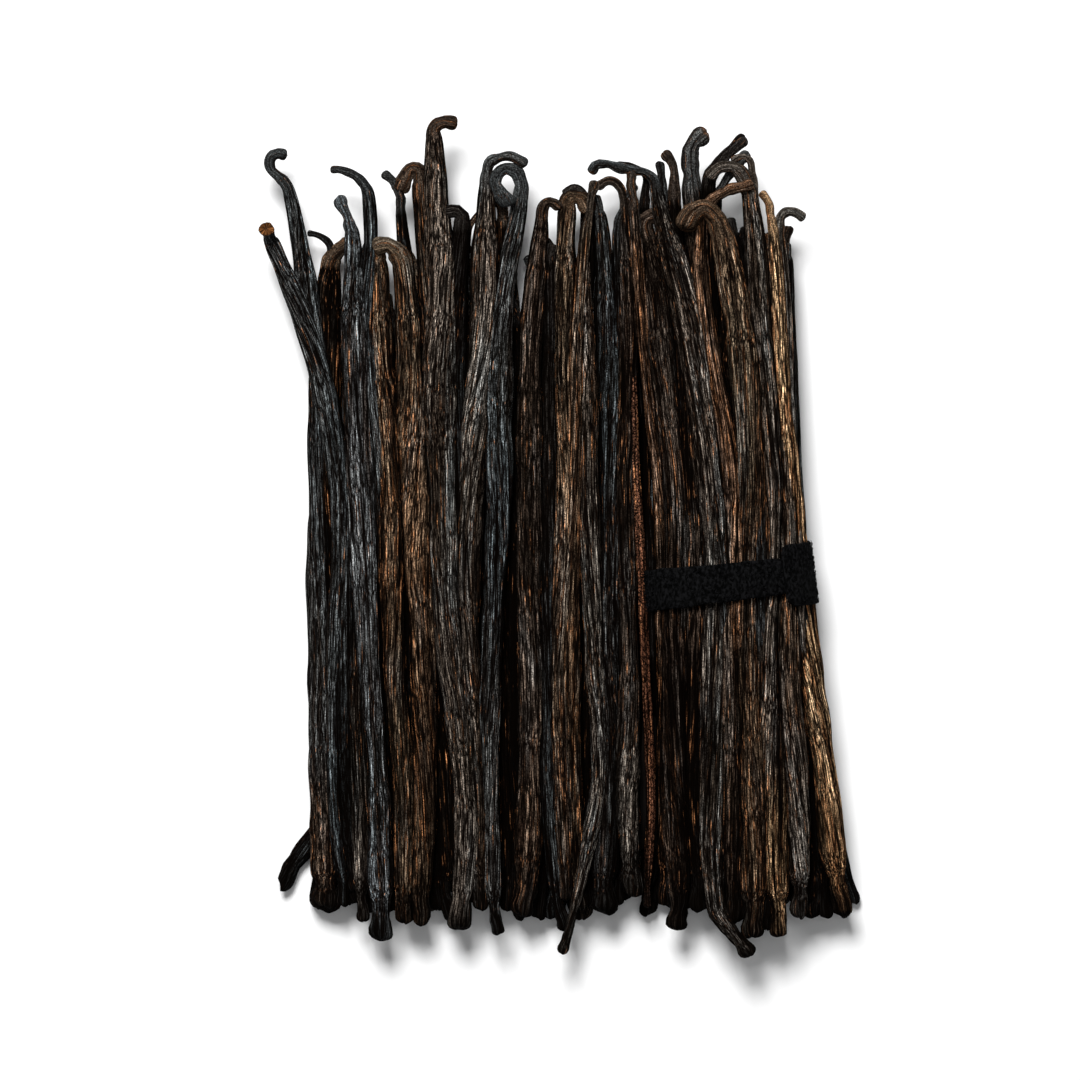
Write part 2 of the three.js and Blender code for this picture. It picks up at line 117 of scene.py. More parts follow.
def in_scene(name: str, mesh: bpy.types.Mesh) -> Item:
    """A new object for a mesh, linked to the scene."""
    made = bpy.data.objects.new(name, mesh)
    bpy.context.scene.collection.objects.link(made)
    return made


@dataclass(frozen=True)
class Tint:
    """Colours of one kind of cured skin."""

    light: str  # the strands that stand out
    dark: str  # the strands that lie back
    streak: float  # how many strands are orange, from 0 to 1
    bloom_and_sheen: float  # how much of it is blue-grey bloom and painted sheen, from 0 to 1


class Tone(Enum):
    """The kinds of skin in the bundle."""

    BLACK = Tint("#2e2b29", "#0f0c0b", 0.15, 0.2)
    CHARCOAL = Tint("#4b4c4c", "#1b1816", 0.28, 0.4)
    SLATE = Tint("#646668", "#262220", 0.3, 0.45)
    GREY_BROWN = Tint("#60564e", "#261e18", 0.42, 0.35)
    DARK_BROWN = Tint("#463a32", "#17110d", 0.42, 0.2)
    BROWN = Tint("#5b4b3f", "#231913", 0.55, 0.25)
    ORANGE_BROWN = Tint("#64503f", "#271b13", 0.66, 0.25)
    RUSSET = Tint("#6b5140", "#2a1c13", 0.72, 0.2)
    RUST = Tint("#4d2f21", "#1f110b", 0.4, 0.0)
    TAN = Tint("#b89470", "#57402c", 0.85, 0.1)


@dataclass(frozen=True)
class PodRow:
    """Where one pod lies on the sheet, and how it is made.

    foot and neck are (across, down) of the blossom end and of the start of the hook, crossings the
    places across at each of the CROSS_LINES, widths the low, high and neck widths in steps, lifts
    the low and high heights in mm over the bundle's skin. hook is the bent stem end and heel the
    thin end past the foot, both as lengths in steps with the turn in degrees after each. foot_tone
    and hook_tone are those of the two ends, where they differ from tone.
    """

    foot: tuple[float, float]
    crossings: tuple[float, ...]
    neck: tuple[float, float]
    widths: tuple[float, float, float]
    lifts: tuple[float, float]
    hook: tuple[float, ...]
    tone: Tone
    foot_tone: Tone | None = None
    hook_tone: Tone | None = None
    heel: tuple[float, ...] = ()
    bed: float | None = None  # mm, height of its middle where it lies in a lower layer
    rim: float | None = None  # degrees round the hank where it lies under others
    scar: float = 0.0  # how tan the cut end of its stem is, from 0 to 1
    rope: float = 0.0  # how much its skin is dashed like a rope, from 0 to 1


LAID_PODS = (
    PodRow((282, 882), (334, 350, 356, 356), (356, 400), (18, 16, 12), (-20, -20),
           (12, 0), Tone.BLACK),
    PodRow((327, 900), (323, 323, 321, 318), (318, 372), (25, 24, 16), (0, -1),
           (12, 0), Tone.CHARCOAL, foot_tone=Tone.BROWN),
    PodRow((345, 902), (337, 336, 341, 313), (290, 195), (17, 20, 11), (-0.5, 0.5),
           (30, -45, 25, 160), Tone.CHARCOAL),
    PodRow((352, 885), (350, 347, 339, 303), (272, 243), (20, 19, 13), (-2, 2),
           (14, 0), Tone.CHARCOAL, scar=1.0),
    PodRow((372, 905), (366, 352, 333, 326), (330, 255), (18, 14, 9), (-4, -3),
           (34, -90), Tone.BLACK),
    PodRow((357, 895), (354, 346, 333, 329), (329, 268), (18, 21, 20), (-4, -2.2),
           (26, 60), Tone.ORANGE_BROWN),
    PodRow((381, 930), (380, 370, 361, 355), (352, 237), (22, 27, 12), (0.5, 1),
           (14, -8, 22, -30), Tone.SLATE),
    PodRow((361, 916), (359, 357, 356, 353), (352, 300), (18, 16, 10), (-0.6, -4),
           (14, 0), Tone.GREY_BROWN),
    PodRow((392, 905), (390, 384, 376, 367), (368, 200), (18, 14, 13), (-4, 0),
           (48, -95), Tone.CHARCOAL, foot_tone=Tone.GREY_BROWN),
    PodRow((403, 915), (403, 393, 387, 381), (379, 262), (18, 21, 12), (0, -0.5),
           (20, -10), Tone.ORANGE_BROWN),
    PodRow((396, 900), (395, 392, 392, 392), (391, 336), (14, 14, 9), (-4, -4),
           (12, 6), Tone.BLACK),
    PodRow((418, 920), (426, 423, 414, 407), (403, 268), (21, 23, 18), (0.3, 0.5),
           (26, -50, 10, -60), Tone.ORANGE_BROWN),
    PodRow((434, 905), (436, 431, 420, 408), (401, 215), (18, 18, 10), (-4, -1),
           (20, 0, 24, -50), Tone.CHARCOAL),
    PodRow((444, 915), (442, 438, 434, 428), (421, 188), (18, 16, 17), (-4, -1),
           (15, -10, 15, -140, 12, 0), Tone.BROWN),
    PodRow((461, 920), (465, 447, 440, 439), (434, 140), (22, 30, 14), (0.6, 1.2),
           (8, 4, 21, 105), Tone.GREY_BROWN, hook_tone=Tone.DARK_BROWN, scar=0.2),
    PodRow((474, 895), (476, 462, 458, 456), (461, 232), (18, 18, 16), (-1, -0.5),
           (14, 0, 14, -110), Tone.BLACK, foot_tone=Tone.DARK_BROWN),
    PodRow((486, 900), (484, 474, 464, 462), (467, 236), (16, 12, 7), (-4, -3),
           (16, 24, 12, 30), Tone.BROWN),
    PodRow((480, 905), (480, 471, 472, 484), (487, 190), (20, 22, 12), (0.2, 0.4),
           (20, 0, 10, 60, 22, 40, 8, 30), Tone.GREY_BROWN, hook_tone=Tone.CHARCOAL),
    PodRow((509, 905), (506, 502, 500, 502), (503, 225), (18, 16, 11), (-4, -3),
           (20, -10, 10, -80), Tone.BROWN),
    PodRow((495, 930), (492, 491, 498, 502), (518, 208), (14, 22, 15), (0.6, 0.8),
           (14, 0, 18, -40, 32, -175, 14, -10), Tone.CHARCOAL),
    PodRow((526, 908), (530, 530, 530, 533), (541, 222), (21, 23, 12), (0.2, 0.3),
           (12, 0, 21, 130), Tone.DARK_BROWN, foot_tone=Tone.BROWN),
    PodRow((560, 925), (547, 547, 549, 550), (551, 262), (15, 15, 12), (-0.5, -0.8),
           (12, 8), Tone.BLACK, foot_tone=Tone.CHARCOAL),
    PodRow((540, 915), (541, 542, 543, 540), (541, 260), (18, 18, 12), (-4.5, -4),
           (16, 0), Tone.BLACK),
    PodRow((566, 895), (562, 561, 566, 566), (567, 210), (18, 27, 20), (0.3, 0.8),
           (3, 5, 25, 150), Tone.ORANGE_BROWN, foot_tone=Tone.BROWN),
    PodRow((585, 900), (582, 577, 578, 582), (588, 205), (18, 18, 10), (-4, -1),
           (14, -45, 16, -85), Tone.BLACK),
    PodRow((577, 905), (574, 572, 576, 577), (586, 232), (14, 12, 10), (-0.8, 1),
           (24, 3, 24, 14), Tone.ORANGE_BROWN, hook_tone=Tone.DARK_BROWN),
    PodRow((581, 880), (597, 593, 590, 587), (585, 285), (15, 21, 10), (0.5, -0.3),
           (20, 0), Tone.GREY_BROWN, heel=(72, -6)),
    PodRow((602, 905), (607, 609, 613, 606), (600, 215), (25, 21, 12), (-0.3, -0.5),
           (16, -10), Tone.CHARCOAL),
    PodRow((617, 900), (616, 615, 619, 622), (617, 240), (16, 14, 9), (-4, -0.5),
           (20, 12, 34, 36), Tone.CHARCOAL),
    PodRow((631, 888), (627, 627, 625, 627), (625, 218), (23, 21, 11), (0.2, 0.5),
           (22, -5, 32, -120), Tone.DARK_BROWN, foot_tone=Tone.GREY_BROWN),
    PodRow((647, 905), (652, 646, 637, 630), (628, 290), (9, 9, 7), (0.8, -0.3),
           (20, 0), Tone.RUST, rope=1.0),
    PodRow((668, 900), (664, 664, 659, 643), (634, 215), (16, 14, 11), (-4, 1.5),
           (20, -4, 18, 14), Tone.RUSSET, hook_tone=Tone.DARK_BROWN),
    PodRow((658, 900), (656, 655, 650, 650), (645, 212), (18, 16, 9), (-4, -2),
           (30, 8, 14, -60, 20, -40), Tone.BLACK),
    PodRow((681, 922), (675, 677, 675, 661), (649, 243), (28, 28, 18), (0.3, 0.5),
           (12, -10, 18, 90, 10, 0), Tone.DARK_BROWN),
    PodRow((690, 905), (686, 688, 684, 672), (664, 200), (16, 14, 11), (-4, -2),
           (32, -2), Tone.BLACK),
    PodRow((716, 905), (711, 712, 709, 689), (657, 195), (24, 30, 10), (0.6, 1.0),
           (12, 10, 19, -85, 18, 5, 15, 20, 10, -30, 8, -60), Tone.GREY_BROWN,
           hook_tone=Tone.CHARCOAL, heel=(12, 34, 42, 0), scar=0.45),
    PodRow((700, 905), (695, 695, 692, 682), (674, 205), (16, 16, 13), (-2.4, -1.6),
           (24, 4, 14, -10, 10, -35), Tone.DARK_BROWN, scar=0.35),
    PodRow((735, 915), (732, 728, 729, 705), (692, 195), (19, 18, 17), (-0.2, -0.7),
           (36, 4, 12, 20, 9, 45), Tone.BROWN, foot_tone=Tone.DARK_BROWN,
           hook_tone=Tone.CHARCOAL, scar=0.48),
    PodRow((722, 900), (724, 722, 712, 708), (708, 190), (16, 15, 14), (-4, -2),
           (24, 35, 34, 20), Tone.BLACK),
    PodRow((728, 895), (728, 724, 716, 712), (716, 205), (16, 13, 10), (-4, -3),
           (16, 30, 38, 10), Tone.CHARCOAL),
    PodRow((742, 905), (738, 735, 730, 706), (702, 228), (16, 16, 14), (-2, 0.2),
           (14, 30, 20, 25, 32, 25), Tone.RUSSET, foot_tone=Tone.BLACK),
    PodRow((754, 928), (751, 743, 747, 737), (725, 250), (24, 23, 20), (0.6, 1.2),
           (26, -8, 14, -30, 20, -80, 10, -30), Tone.ORANGE_BROWN),
    PodRow((770, 925), (764, 757, 757, 746), (733, 236), (16, 14, 10), (-2.2, -0.8),
           (12, 0), Tone.BLACK),
    PodRow((779, 928), (775, 767, 770, 760), (750, 200), (22, 21, 14), (0.3, 0.2),
           (18, -15, 42, -120), Tone.GREY_BROWN, foot_tone=Tone.TAN),
    PodRow((801, 912), (797, 786, 782, 772), (766, 250), (25, 15, 8), (0.4, -1.2),
           (12, 0), Tone.BROWN, foot_tone=Tone.GREY_BROWN),
    PodRow((815, 912), (808, 795, 778, 760), (755, 205), (17, 12, 8), (-4, -2),
           (38, -3, 24, -130), Tone.GREY_BROWN),
    PodRow((841, 905), (828, 806, 791, 779), (774, 238), (25, 13, 9), (0.8, 0.5),
           (26, -10, 18, -20), Tone.TAN),
    PodRow((826, 915), (814, 799, 793, 786), (780, 245), (16, 12, 10), (-3, -0.3),
           (22, 0, 22, 120, 8, 15), Tone.GREY_BROWN, foot_tone=Tone.BLACK),
    PodRow((853, 900), (832, 806, 797, 792), (790, 262), (16, 10, 7), (-4, -1),
           (16, 0), Tone.CHARCOAL),
)


@dataclass
class Bundle:
    """The outline of all the pods together: a loose heap, and a hank at its right."""

    left: float = 303
    right: float = 672
    left_round: float = 70
    right_round: float = 44
    overhang: float = 20
    height: tuple = ((240, 580, 900), (12.5, 16.0, 12.0))
    hank_left: tuple = ((240, 580, 900), (652, 649, 664))
    hank_right: tuple = ((240, 580, 900), (792, 803, 850))
    hank_rise: tuple = ((240, 580, 900), (8.5, 10.4, 7.6))
    hank_ground: tuple = ((240, 480, 680, 900), (0.0, 2.0, 2.0, 0.0))
    roundness: float = 2.2
    strap_line: float = 582
    strap_reach: float = 36
    strap_free: float = 70

    def hank_at(self, down: Array | float) -> tuple:
        """The hank's oval where it crosses a line.

        Args:
            down: steps down the sheet.

        Returns:
            Its middle and half width in steps, its half height and middle height in mm.
        """
        left, right, rise, ground = (
            np.interp(down, *edge)
            for edge in (self.hank_left, self.hank_right, self.hank_rise, self.hank_ground))
        return (left + right) / 2, (right - left) / 2, rise, rise + ground

    def oval(self, reach: Array, rise: Array, degrees: Array) -> tuple:
        """A point on an oval, across and up from its middle, at an angle in degrees."""
        c, s = np.cos(np.radians(degrees)), np.sin(np.radians(degrees))
        size = (np.abs(c) ** self.roundness + np.abs(s) ** self.roundness) ** (-1 / self.roundness)
        return reach * c * size, rise * s * size

    def skin(self, across: Array, down: Array) -> Array:
        """Height in mm of the top of all the pods at places on the sheet.

        Args:
            across: steps across.
            down: steps down.

        Returns:
            The height over the ground.
        """
        def rounded(u: Array) -> Array:
            """A quarter circle from 0 to 1."""
            return np.sqrt(1 - (1 - np.clip(u, 0, 1)) ** 2)

        loose = (np.interp(down, *self.height) * rounded((across - self.left) / self.left_round)
                 * rounded((self.right - across) / self.right_round))
        middle, reach, rise, height = self.hank_at(down)
        u = np.abs(across - middle) / reach
        inside = np.clip(1 - np.minimum(u, 1) ** self.roundness, 0, 1) ** (1 / self.roundness)
        return np.where(u >= 1, loose, np.maximum(loose, height + rise * inside))


@dataclass
class Grain:
    """Smooth, seeded noise on a sheet that closes on itself around a pod."""

    seed: int
    random: np.random.Generator = field(init=False)

    def __post_init__(self) -> None:
        """Starts the draws."""
        self.random = np.random.default_rng(self.seed)

    @staticmethod
    def weights(t: Array) -> tuple:
        """The four weights of a smooth cubic between lattice points."""
        return ((1 - t) ** 3 / 6, (3 * t ** 3 - 6 * t ** 2 + 4) / 6,
                (-3 * t ** 3 + 3 * t ** 2 + 3 * t + 1) / 6, t ** 3 / 6)

    def sheet(self, around: Array, along: Array, cells: int, spacing: float) -> Array:
        """Noise at places on the sheet.

        Args:
            around: turns around the pod, any number, 1 is a full turn.
            along: places along the pod.
            cells: lattice points in a full turn.
            spacing: distance of the lattice points along the pod.

        Returns:
            Noise of about -1 to 1, in the shape of around and along together.
        """
        low = along.min()
        rows = int((along.max() - low) / spacing) + 5
        lattice = self.random.uniform(-1.7, 1.7, (rows, cells))
        x, y = np.broadcast_arrays(around * cells, (along - low) / spacing + 1)
        i, j = np.floor(x).astype(int), np.floor(y).astype(int)
        across, down = self.weights(x - i), self.weights(y - j)
        total = np.zeros(x.shape)
        for b in range(4):
            for a in range(4):
                total += across[a] * down[b] * lattice[j + b - 1, (i + a - 1) % cells]
        return total

    def layers(self, around: Array, along: Array, sizes: tuple) -> Array:
        """The sum of several sheets, whose sizes are strength, cells and spacing of each."""
        return sum(strength * self.sheet(around, along, cells, spacing)
                   for strength, cells, spacing in sizes)

    def waves(self, along: Array, *sizes: tuple) -> Array:
        """Noise along a line, whose sizes are strength and spacing of each wave."""
        return self.layers(np.zeros_like(along), along, [(size, 1, space) for size, space in sizes])


@dataclass
class Route:
    """The line that a pod follows, and its size along it, in metres."""

    row: PodRow
    bundle: Bundle
    grain: Grain  # the pod's own noise, for its slight waves and swellings
    flatness: float = 0.8
    hook_flatness: float = 0.95
    thinnest: float = 2.2  # mm
    fullness: tuple = (1.12, 1.12, 1.1)  # of the low, high and neck widths
    shoulder: float = 80  # steps from the neck to nearly the full width
    shoulder_share: float = 0.88
    hook_widths: tuple = ((0.0, 0.45, 0.8), (1.0, 0.8, 0.72))
    tip_widths: tuple = (0.72, 1.02)
    heel_taper: float = 0.62
    heel_knob: float = 0.5
    heel_knob_reach: float = 7  # steps
    foot_taper: tuple = (0.6, 0.95)
    foot_reach: float = 58  # steps of the pod that narrow towards the foot
    foot_sway: float = 5  # steps that a foot is off its line
    sway_reach: float = 30  # steps
    body_ends: float = 60  # steps from foot and neck to where the body is at its fullest
    body_wave: tuple = (1.3, 70)  # size and spacing in steps, as in the next four
    kinks: tuple = ((1.1, 18), (0.5, 6))
    body_swell: tuple = (0.07, 55)
    fine_swell: tuple = (0.08, 18)
    hook_swell: tuple = ((0.1, 8), (0.06, 4))
    waist_depth: tuple = (0.06, 0.34)
    waist_place: tuple = (16, 26)  # steps from the pod's end
    waist_reach: float = 9  # steps
    cut_rise: float = 4.2  # mm that a scarred stem end turns up
    cut_reach: float = 13  # steps
    hook_lift: float = 0.035
    floor_gap: float = 0.15  # mm
    swell: float = 1.16  # room for the folds over the floor, as a share of the thickness
    dense: float = 1.0  # steps between the points of the line
    arc_turn: float = 14  # degrees and steps that a part of an arc has at most
    arc_length: float = 7

    def turned(self, start: tuple, heading: float, pairs: tuple, way: int) -> list[tuple]:
        """Points of a path of arcs.

        Args:
            start: (across, down) where it starts.
            heading: degrees off the pods' own direction.
            pairs: length and turn of each arc.
            way: -1 towards the hooks and 1 towards the feet.

        Returns:
            The points after the start.
        """
        points = []
        across, down = start
        for length, turn in zip(pairs[::2], pairs[1::2]):
            parts = max(1, math.ceil(abs(turn) / self.arc_turn), math.ceil(length / self.arc_length))
            for _ in range(parts):
                half = math.radians(heading + turn / parts / 2)
                across += length / parts * math.sin(half)
                down += length / parts * math.cos(half) * way
                heading += turn / parts
                points.append((across, down))
        return points

    def corners(self) -> tuple[Array, int, int]:
        """The places that the line goes through.

        Returns:
            The places from heel to hook, and the indices of the foot and the neck among them.
        """
        row = self.row
        lines = [(a, d) for a, d in zip(row.crossings, CROSS_LINES)
                 if row.neck[1] + LINE_MARGIN < d < row.foot[1] - LINE_MARGIN]
        body = [row.foot, *lines, row.neck]

        def heading(a: tuple, b: tuple) -> float:
            """Degrees off the pods' own direction from a to b."""
            return math.degrees(math.atan2(b[0] - a[0], abs(b[1] - a[1])))

        heel = self.turned(row.foot, heading(body[1], row.foot), row.heel, 1)
        hook = self.turned(row.neck, heading(body[-2], row.neck), row.hook, -1)
        return np.array([*heel[::-1], *body, *hook], float), len(heel), len(heel) + len(body) - 1

    def line(self) -> tuple[Array, float, float]:
        """The smooth line through the corners, in steps.

        Returns:
            Points a step apart, and how far along it the foot and the neck are.
        """
        places, foot, neck = self.corners()
        gaps = np.linalg.norm(np.diff(places, axis=0), axis=1)
        at = np.concatenate([[0], np.cumsum(gaps)])
        slopes = np.diff(places, axis=0) / gaps[:, None]
        before, after = gaps[:-1, None], gaps[1:, None]
        inner = (slopes[:-1] * after + slopes[1:] * before) / (before + after)
        tangents = np.vstack([slopes[:1], inner, slopes[-1:]])
        t = np.linspace(0, at[-1], int(at[-1] / self.dense) + 1)
        i = np.clip(np.searchsorted(at, t, side="right") - 1, 0, len(gaps) - 1)
        h = gaps[i][:, None]
        u = (t - at[i])[:, None] / h
        points = ((2 * u ** 3 - 3 * u ** 2 + 1) * places[i] + (u ** 3 - 2 * u ** 2 + u) * h * tangents[i]
                  + (3 * u ** 2 - 2 * u ** 3) * places[i + 1] + (u ** 3 - u ** 2) * h * tangents[i + 1])
        return points, at[foot], at[neck]

    def widths(self, along: Array, down: Array, into_hook: Array, into_heel: Array,
               body: Array) -> Array:
        """The pod's width at each point of its line.

        Args:
            along: steps along the line.
            down: steps down the sheet.
            into_hook: how far each point is into the hook, from 0 to 1.
            into_heel: the same for the heel.
            body: 0 at the body's ends and 1 between.

        Returns:
            The widths in steps.
        """
        row, grain, draw = self.row, self.grain, self.grain.random.uniform
        low, high, neck = np.multiply(row.widths, self.fullness)
        shoulder = row.neck[1] + self.shoulder
        places = (row.neck[1], shoulder, max(shoulder + 1, HIGH_LINE), LOW_LINE,
                  row.foot[1] - self.foot_reach, row.foot[1])
        full = np.interp(down, places, (neck, neck + (high - neck) * self.shoulder_share, high, low, low,
                                        low * draw(*self.foot_taper)))
        full = averaged(full, np.hanning(61))
        parts, shares = self.hook_widths
        hook = neck * np.interp(into_hook, (*parts, 1), (*shares, draw(*self.tip_widths)))
        full = averaged(np.where(into_hook > 0, hook, full), np.ones(17))
        full = full * (1 - into_heel * (1 - self.heel_taper))
        if row.heel:
            full = full * (1 + self.heel_knob * np.exp(-(along / self.heel_knob_reach) ** 2))
        full = full * (1 + body * grain.waves(along, self.body_swell) + grain.waves(along, self.fine_swell))
        full = full * (1 + smooth(into_hook * 3) * grain.waves(along, *self.hook_swell))
        waist = draw(*self.waist_depth)
        return full * (1 - waist * np.exp(-((along - draw(*self.waist_place)) / self.waist_reach) ** 2))

    def settle(self) -> dict[str, Array]:
        """The whole route: places in metres, sizes and how far it is into hook and heel.

        Returns:
            Arrays by name: points, half_width, half_thick, along, bend and down.
        """
        row, bundle, grain = self.row, self.bundle, self.grain
        points, foot_at, neck_at = self.line()
        along = np.arange(len(points)) * self.dense
        into_hook = np.clip((along - neck_at) / max(along[-1] - neck_at, 1), 0, 1)
        into_heel = np.clip((foot_at - along) / max(foot_at, 1), 0, 1)
        body = smooth((along - foot_at) / self.body_ends) * smooth((neck_at - along) / self.body_ends)
        loose_end = smooth(into_hook * 3)
        kinks = loose_end * grain.waves(along, *self.kinks)
        across = points[:, 0] + body * grain.waves(along, self.body_wave) + kinks
        down = points[:, 1] + loose_end * grain.waves(along, *self.kinks)
        if not row.heel:
            sway = grain.random.uniform(-self.foot_sway, self.foot_sway)
            across = across + sway * smooth(1 - along / self.sway_reach) ** 2
        half_width = self.widths(along, down, into_hook, into_heel, body) * STEP_MM / 2
        flat = self.flatness + (self.hook_flatness - self.flatness) * smooth(into_hook * 4)
        half_thick = np.maximum(half_width * flat, np.where(into_hook > 0, 0, self.thinnest / 2))
        half_thick = averaged(half_thick, np.ones(17))
        height = self.heights(across, down, half_thick, into_hook)
        if row.rim is not None:
            middle, reach, rise, centre = bundle.hank_at(down)
            x, z = bundle.oval(reach - (half_width - row.lifts[0]) / STEP_MM,
                               rise - half_thick + row.lifts[0], np.full(len(points), row.rim))
            across, height = middle + x + (across - row.foot[0]), centre + z
        height = averaged(np.maximum(height, half_thick * self.swell + self.floor_gap), np.ones(25))
        rise = np.clip(2 * row.scar - 1, 0, 1) * self.cut_rise
        height = height + rise * np.clip((along - along[-1]) / self.cut_reach + 1, 0, 1) ** 2
        return {"points": np.column_stack([*on_sheet(across, down), height * MM]),
                "half_width": half_width * MM, "half_thick": half_thick * MM,
                "along": along * STEP, "down": down,
                "bend": np.maximum(smooth(into_hook * 6), smooth(into_heel * 6))}

    def heights(self, across: Array, down: Array, half_thick: Array, into_hook: Array) -> Array:
        """Height of the line where the pod lies on the bundle's skin or in a lower layer.

        Args:
            across: steps across the sheet.
            down: steps down the sheet.
            half_thick: half the pod's thickness in mm.
            into_hook: how far each point is into the hook, from 0 to 1.

        Returns:
            The heights in mm.
        """
        row, bundle = self.row, self.bundle
        if row.bed is not None:
            return np.full(len(down), row.bed)
        lowered = smooth((down - HIGH_LINE) / (LOW_LINE - HIGH_LINE))
        lift = row.lifts[1] + (row.lifts[0] - row.lifts[1]) * lowered
        from_strap = np.abs(down - bundle.strap_line) - bundle.strap_reach
        free = np.where(across > bundle.hank_left[1][1], smooth(from_strap / bundle.strap_free), 1.0)
        over = np.maximum(np.where(into_hook > 0, row.neck[0], across), bundle.left + bundle.overhang)
        top = bundle.skin(over, np.minimum(down, row.foot[1]))
        return top - half_thick + lift * free + into_hook * sum(row.hook[::2]) * self.hook_lift


@dataclass
class PodBlank:
    """A straight pod with no wrinkles, modelled once for all pods of one fineness."""

    name: str
    sides: int
    cuts: tuple[int, ...]
    mesh: bpy.types.Mesh = field(init=False)
    ring: Array = field(init=False)
    slot: Array = field(init=False)
    pole: Array = field(init=False)

    def build(self) -> None:
        """Adds the tube, cuts it into rings, and notes which ring and side each vertex is on."""
        bpy.ops.mesh.primitive_cylinder_add(vertices=self.sides, radius=1, depth=1,
                                            end_fill_type="TRIFAN", location=(0, 0, 0.5))
        blank = bpy.context.object
        for cuts in self.cuts:
            bpy.ops.object.mode_set(mode="EDIT")
            bpy.ops.mesh.select_all(action="DESELECT")
            bpy.ops.mesh.select_mode(type="EDGE")
            bpy.ops.object.mode_set(mode="OBJECT")
            verts = blank.data.vertices
            for edge in blank.data.edges:
                a, b = (verts[v].co for v in edge.vertices)
                edge.select = abs(a.z - b.z) > 1e-4
            bpy.ops.object.mode_set(mode="EDIT")
            bpy.ops.mesh.subdivide(number_cuts=cuts)
            bpy.ops.object.mode_set(mode="OBJECT")
        bpy.ops.object.transform_apply(location=True, rotation=True, scale=True)
        bpy.ops.object.shade_smooth()
        self.mesh = blank.data
        self.mesh.name = self.name
        co = corners(self.mesh)
        turn = np.arctan2(co[:, 1], co[:, 0]) / (2 * np.pi) * self.sides
        self.pole = np.hypot(co[:, 0], co[:, 1]) < 0.5
        self.ring = np.round(co[:, 2] * (self.rings - 1)).astype(int)
        self.slot = np.round(turn - turn[~self.pole][0]).astype(int) % self.sides
        bpy.data.objects.remove(blank)

    @property
    def rings(self) -> int:
        """How many rings of vertices the blank has."""
        return math.prod(cuts + 1 for cuts in self.cuts) + 1


@dataclass
class Rings:
    """The rings of a pod, with one value for each and the two poles last."""

    s: Array  # metres along the route
    size: Array  # radius factor, less at the ends
    half_width: Array
    half_thick: Array
    down: Array
    bend: Array  # how far it is into the hook or heel
    end: float  # where the route ends, in metres along it


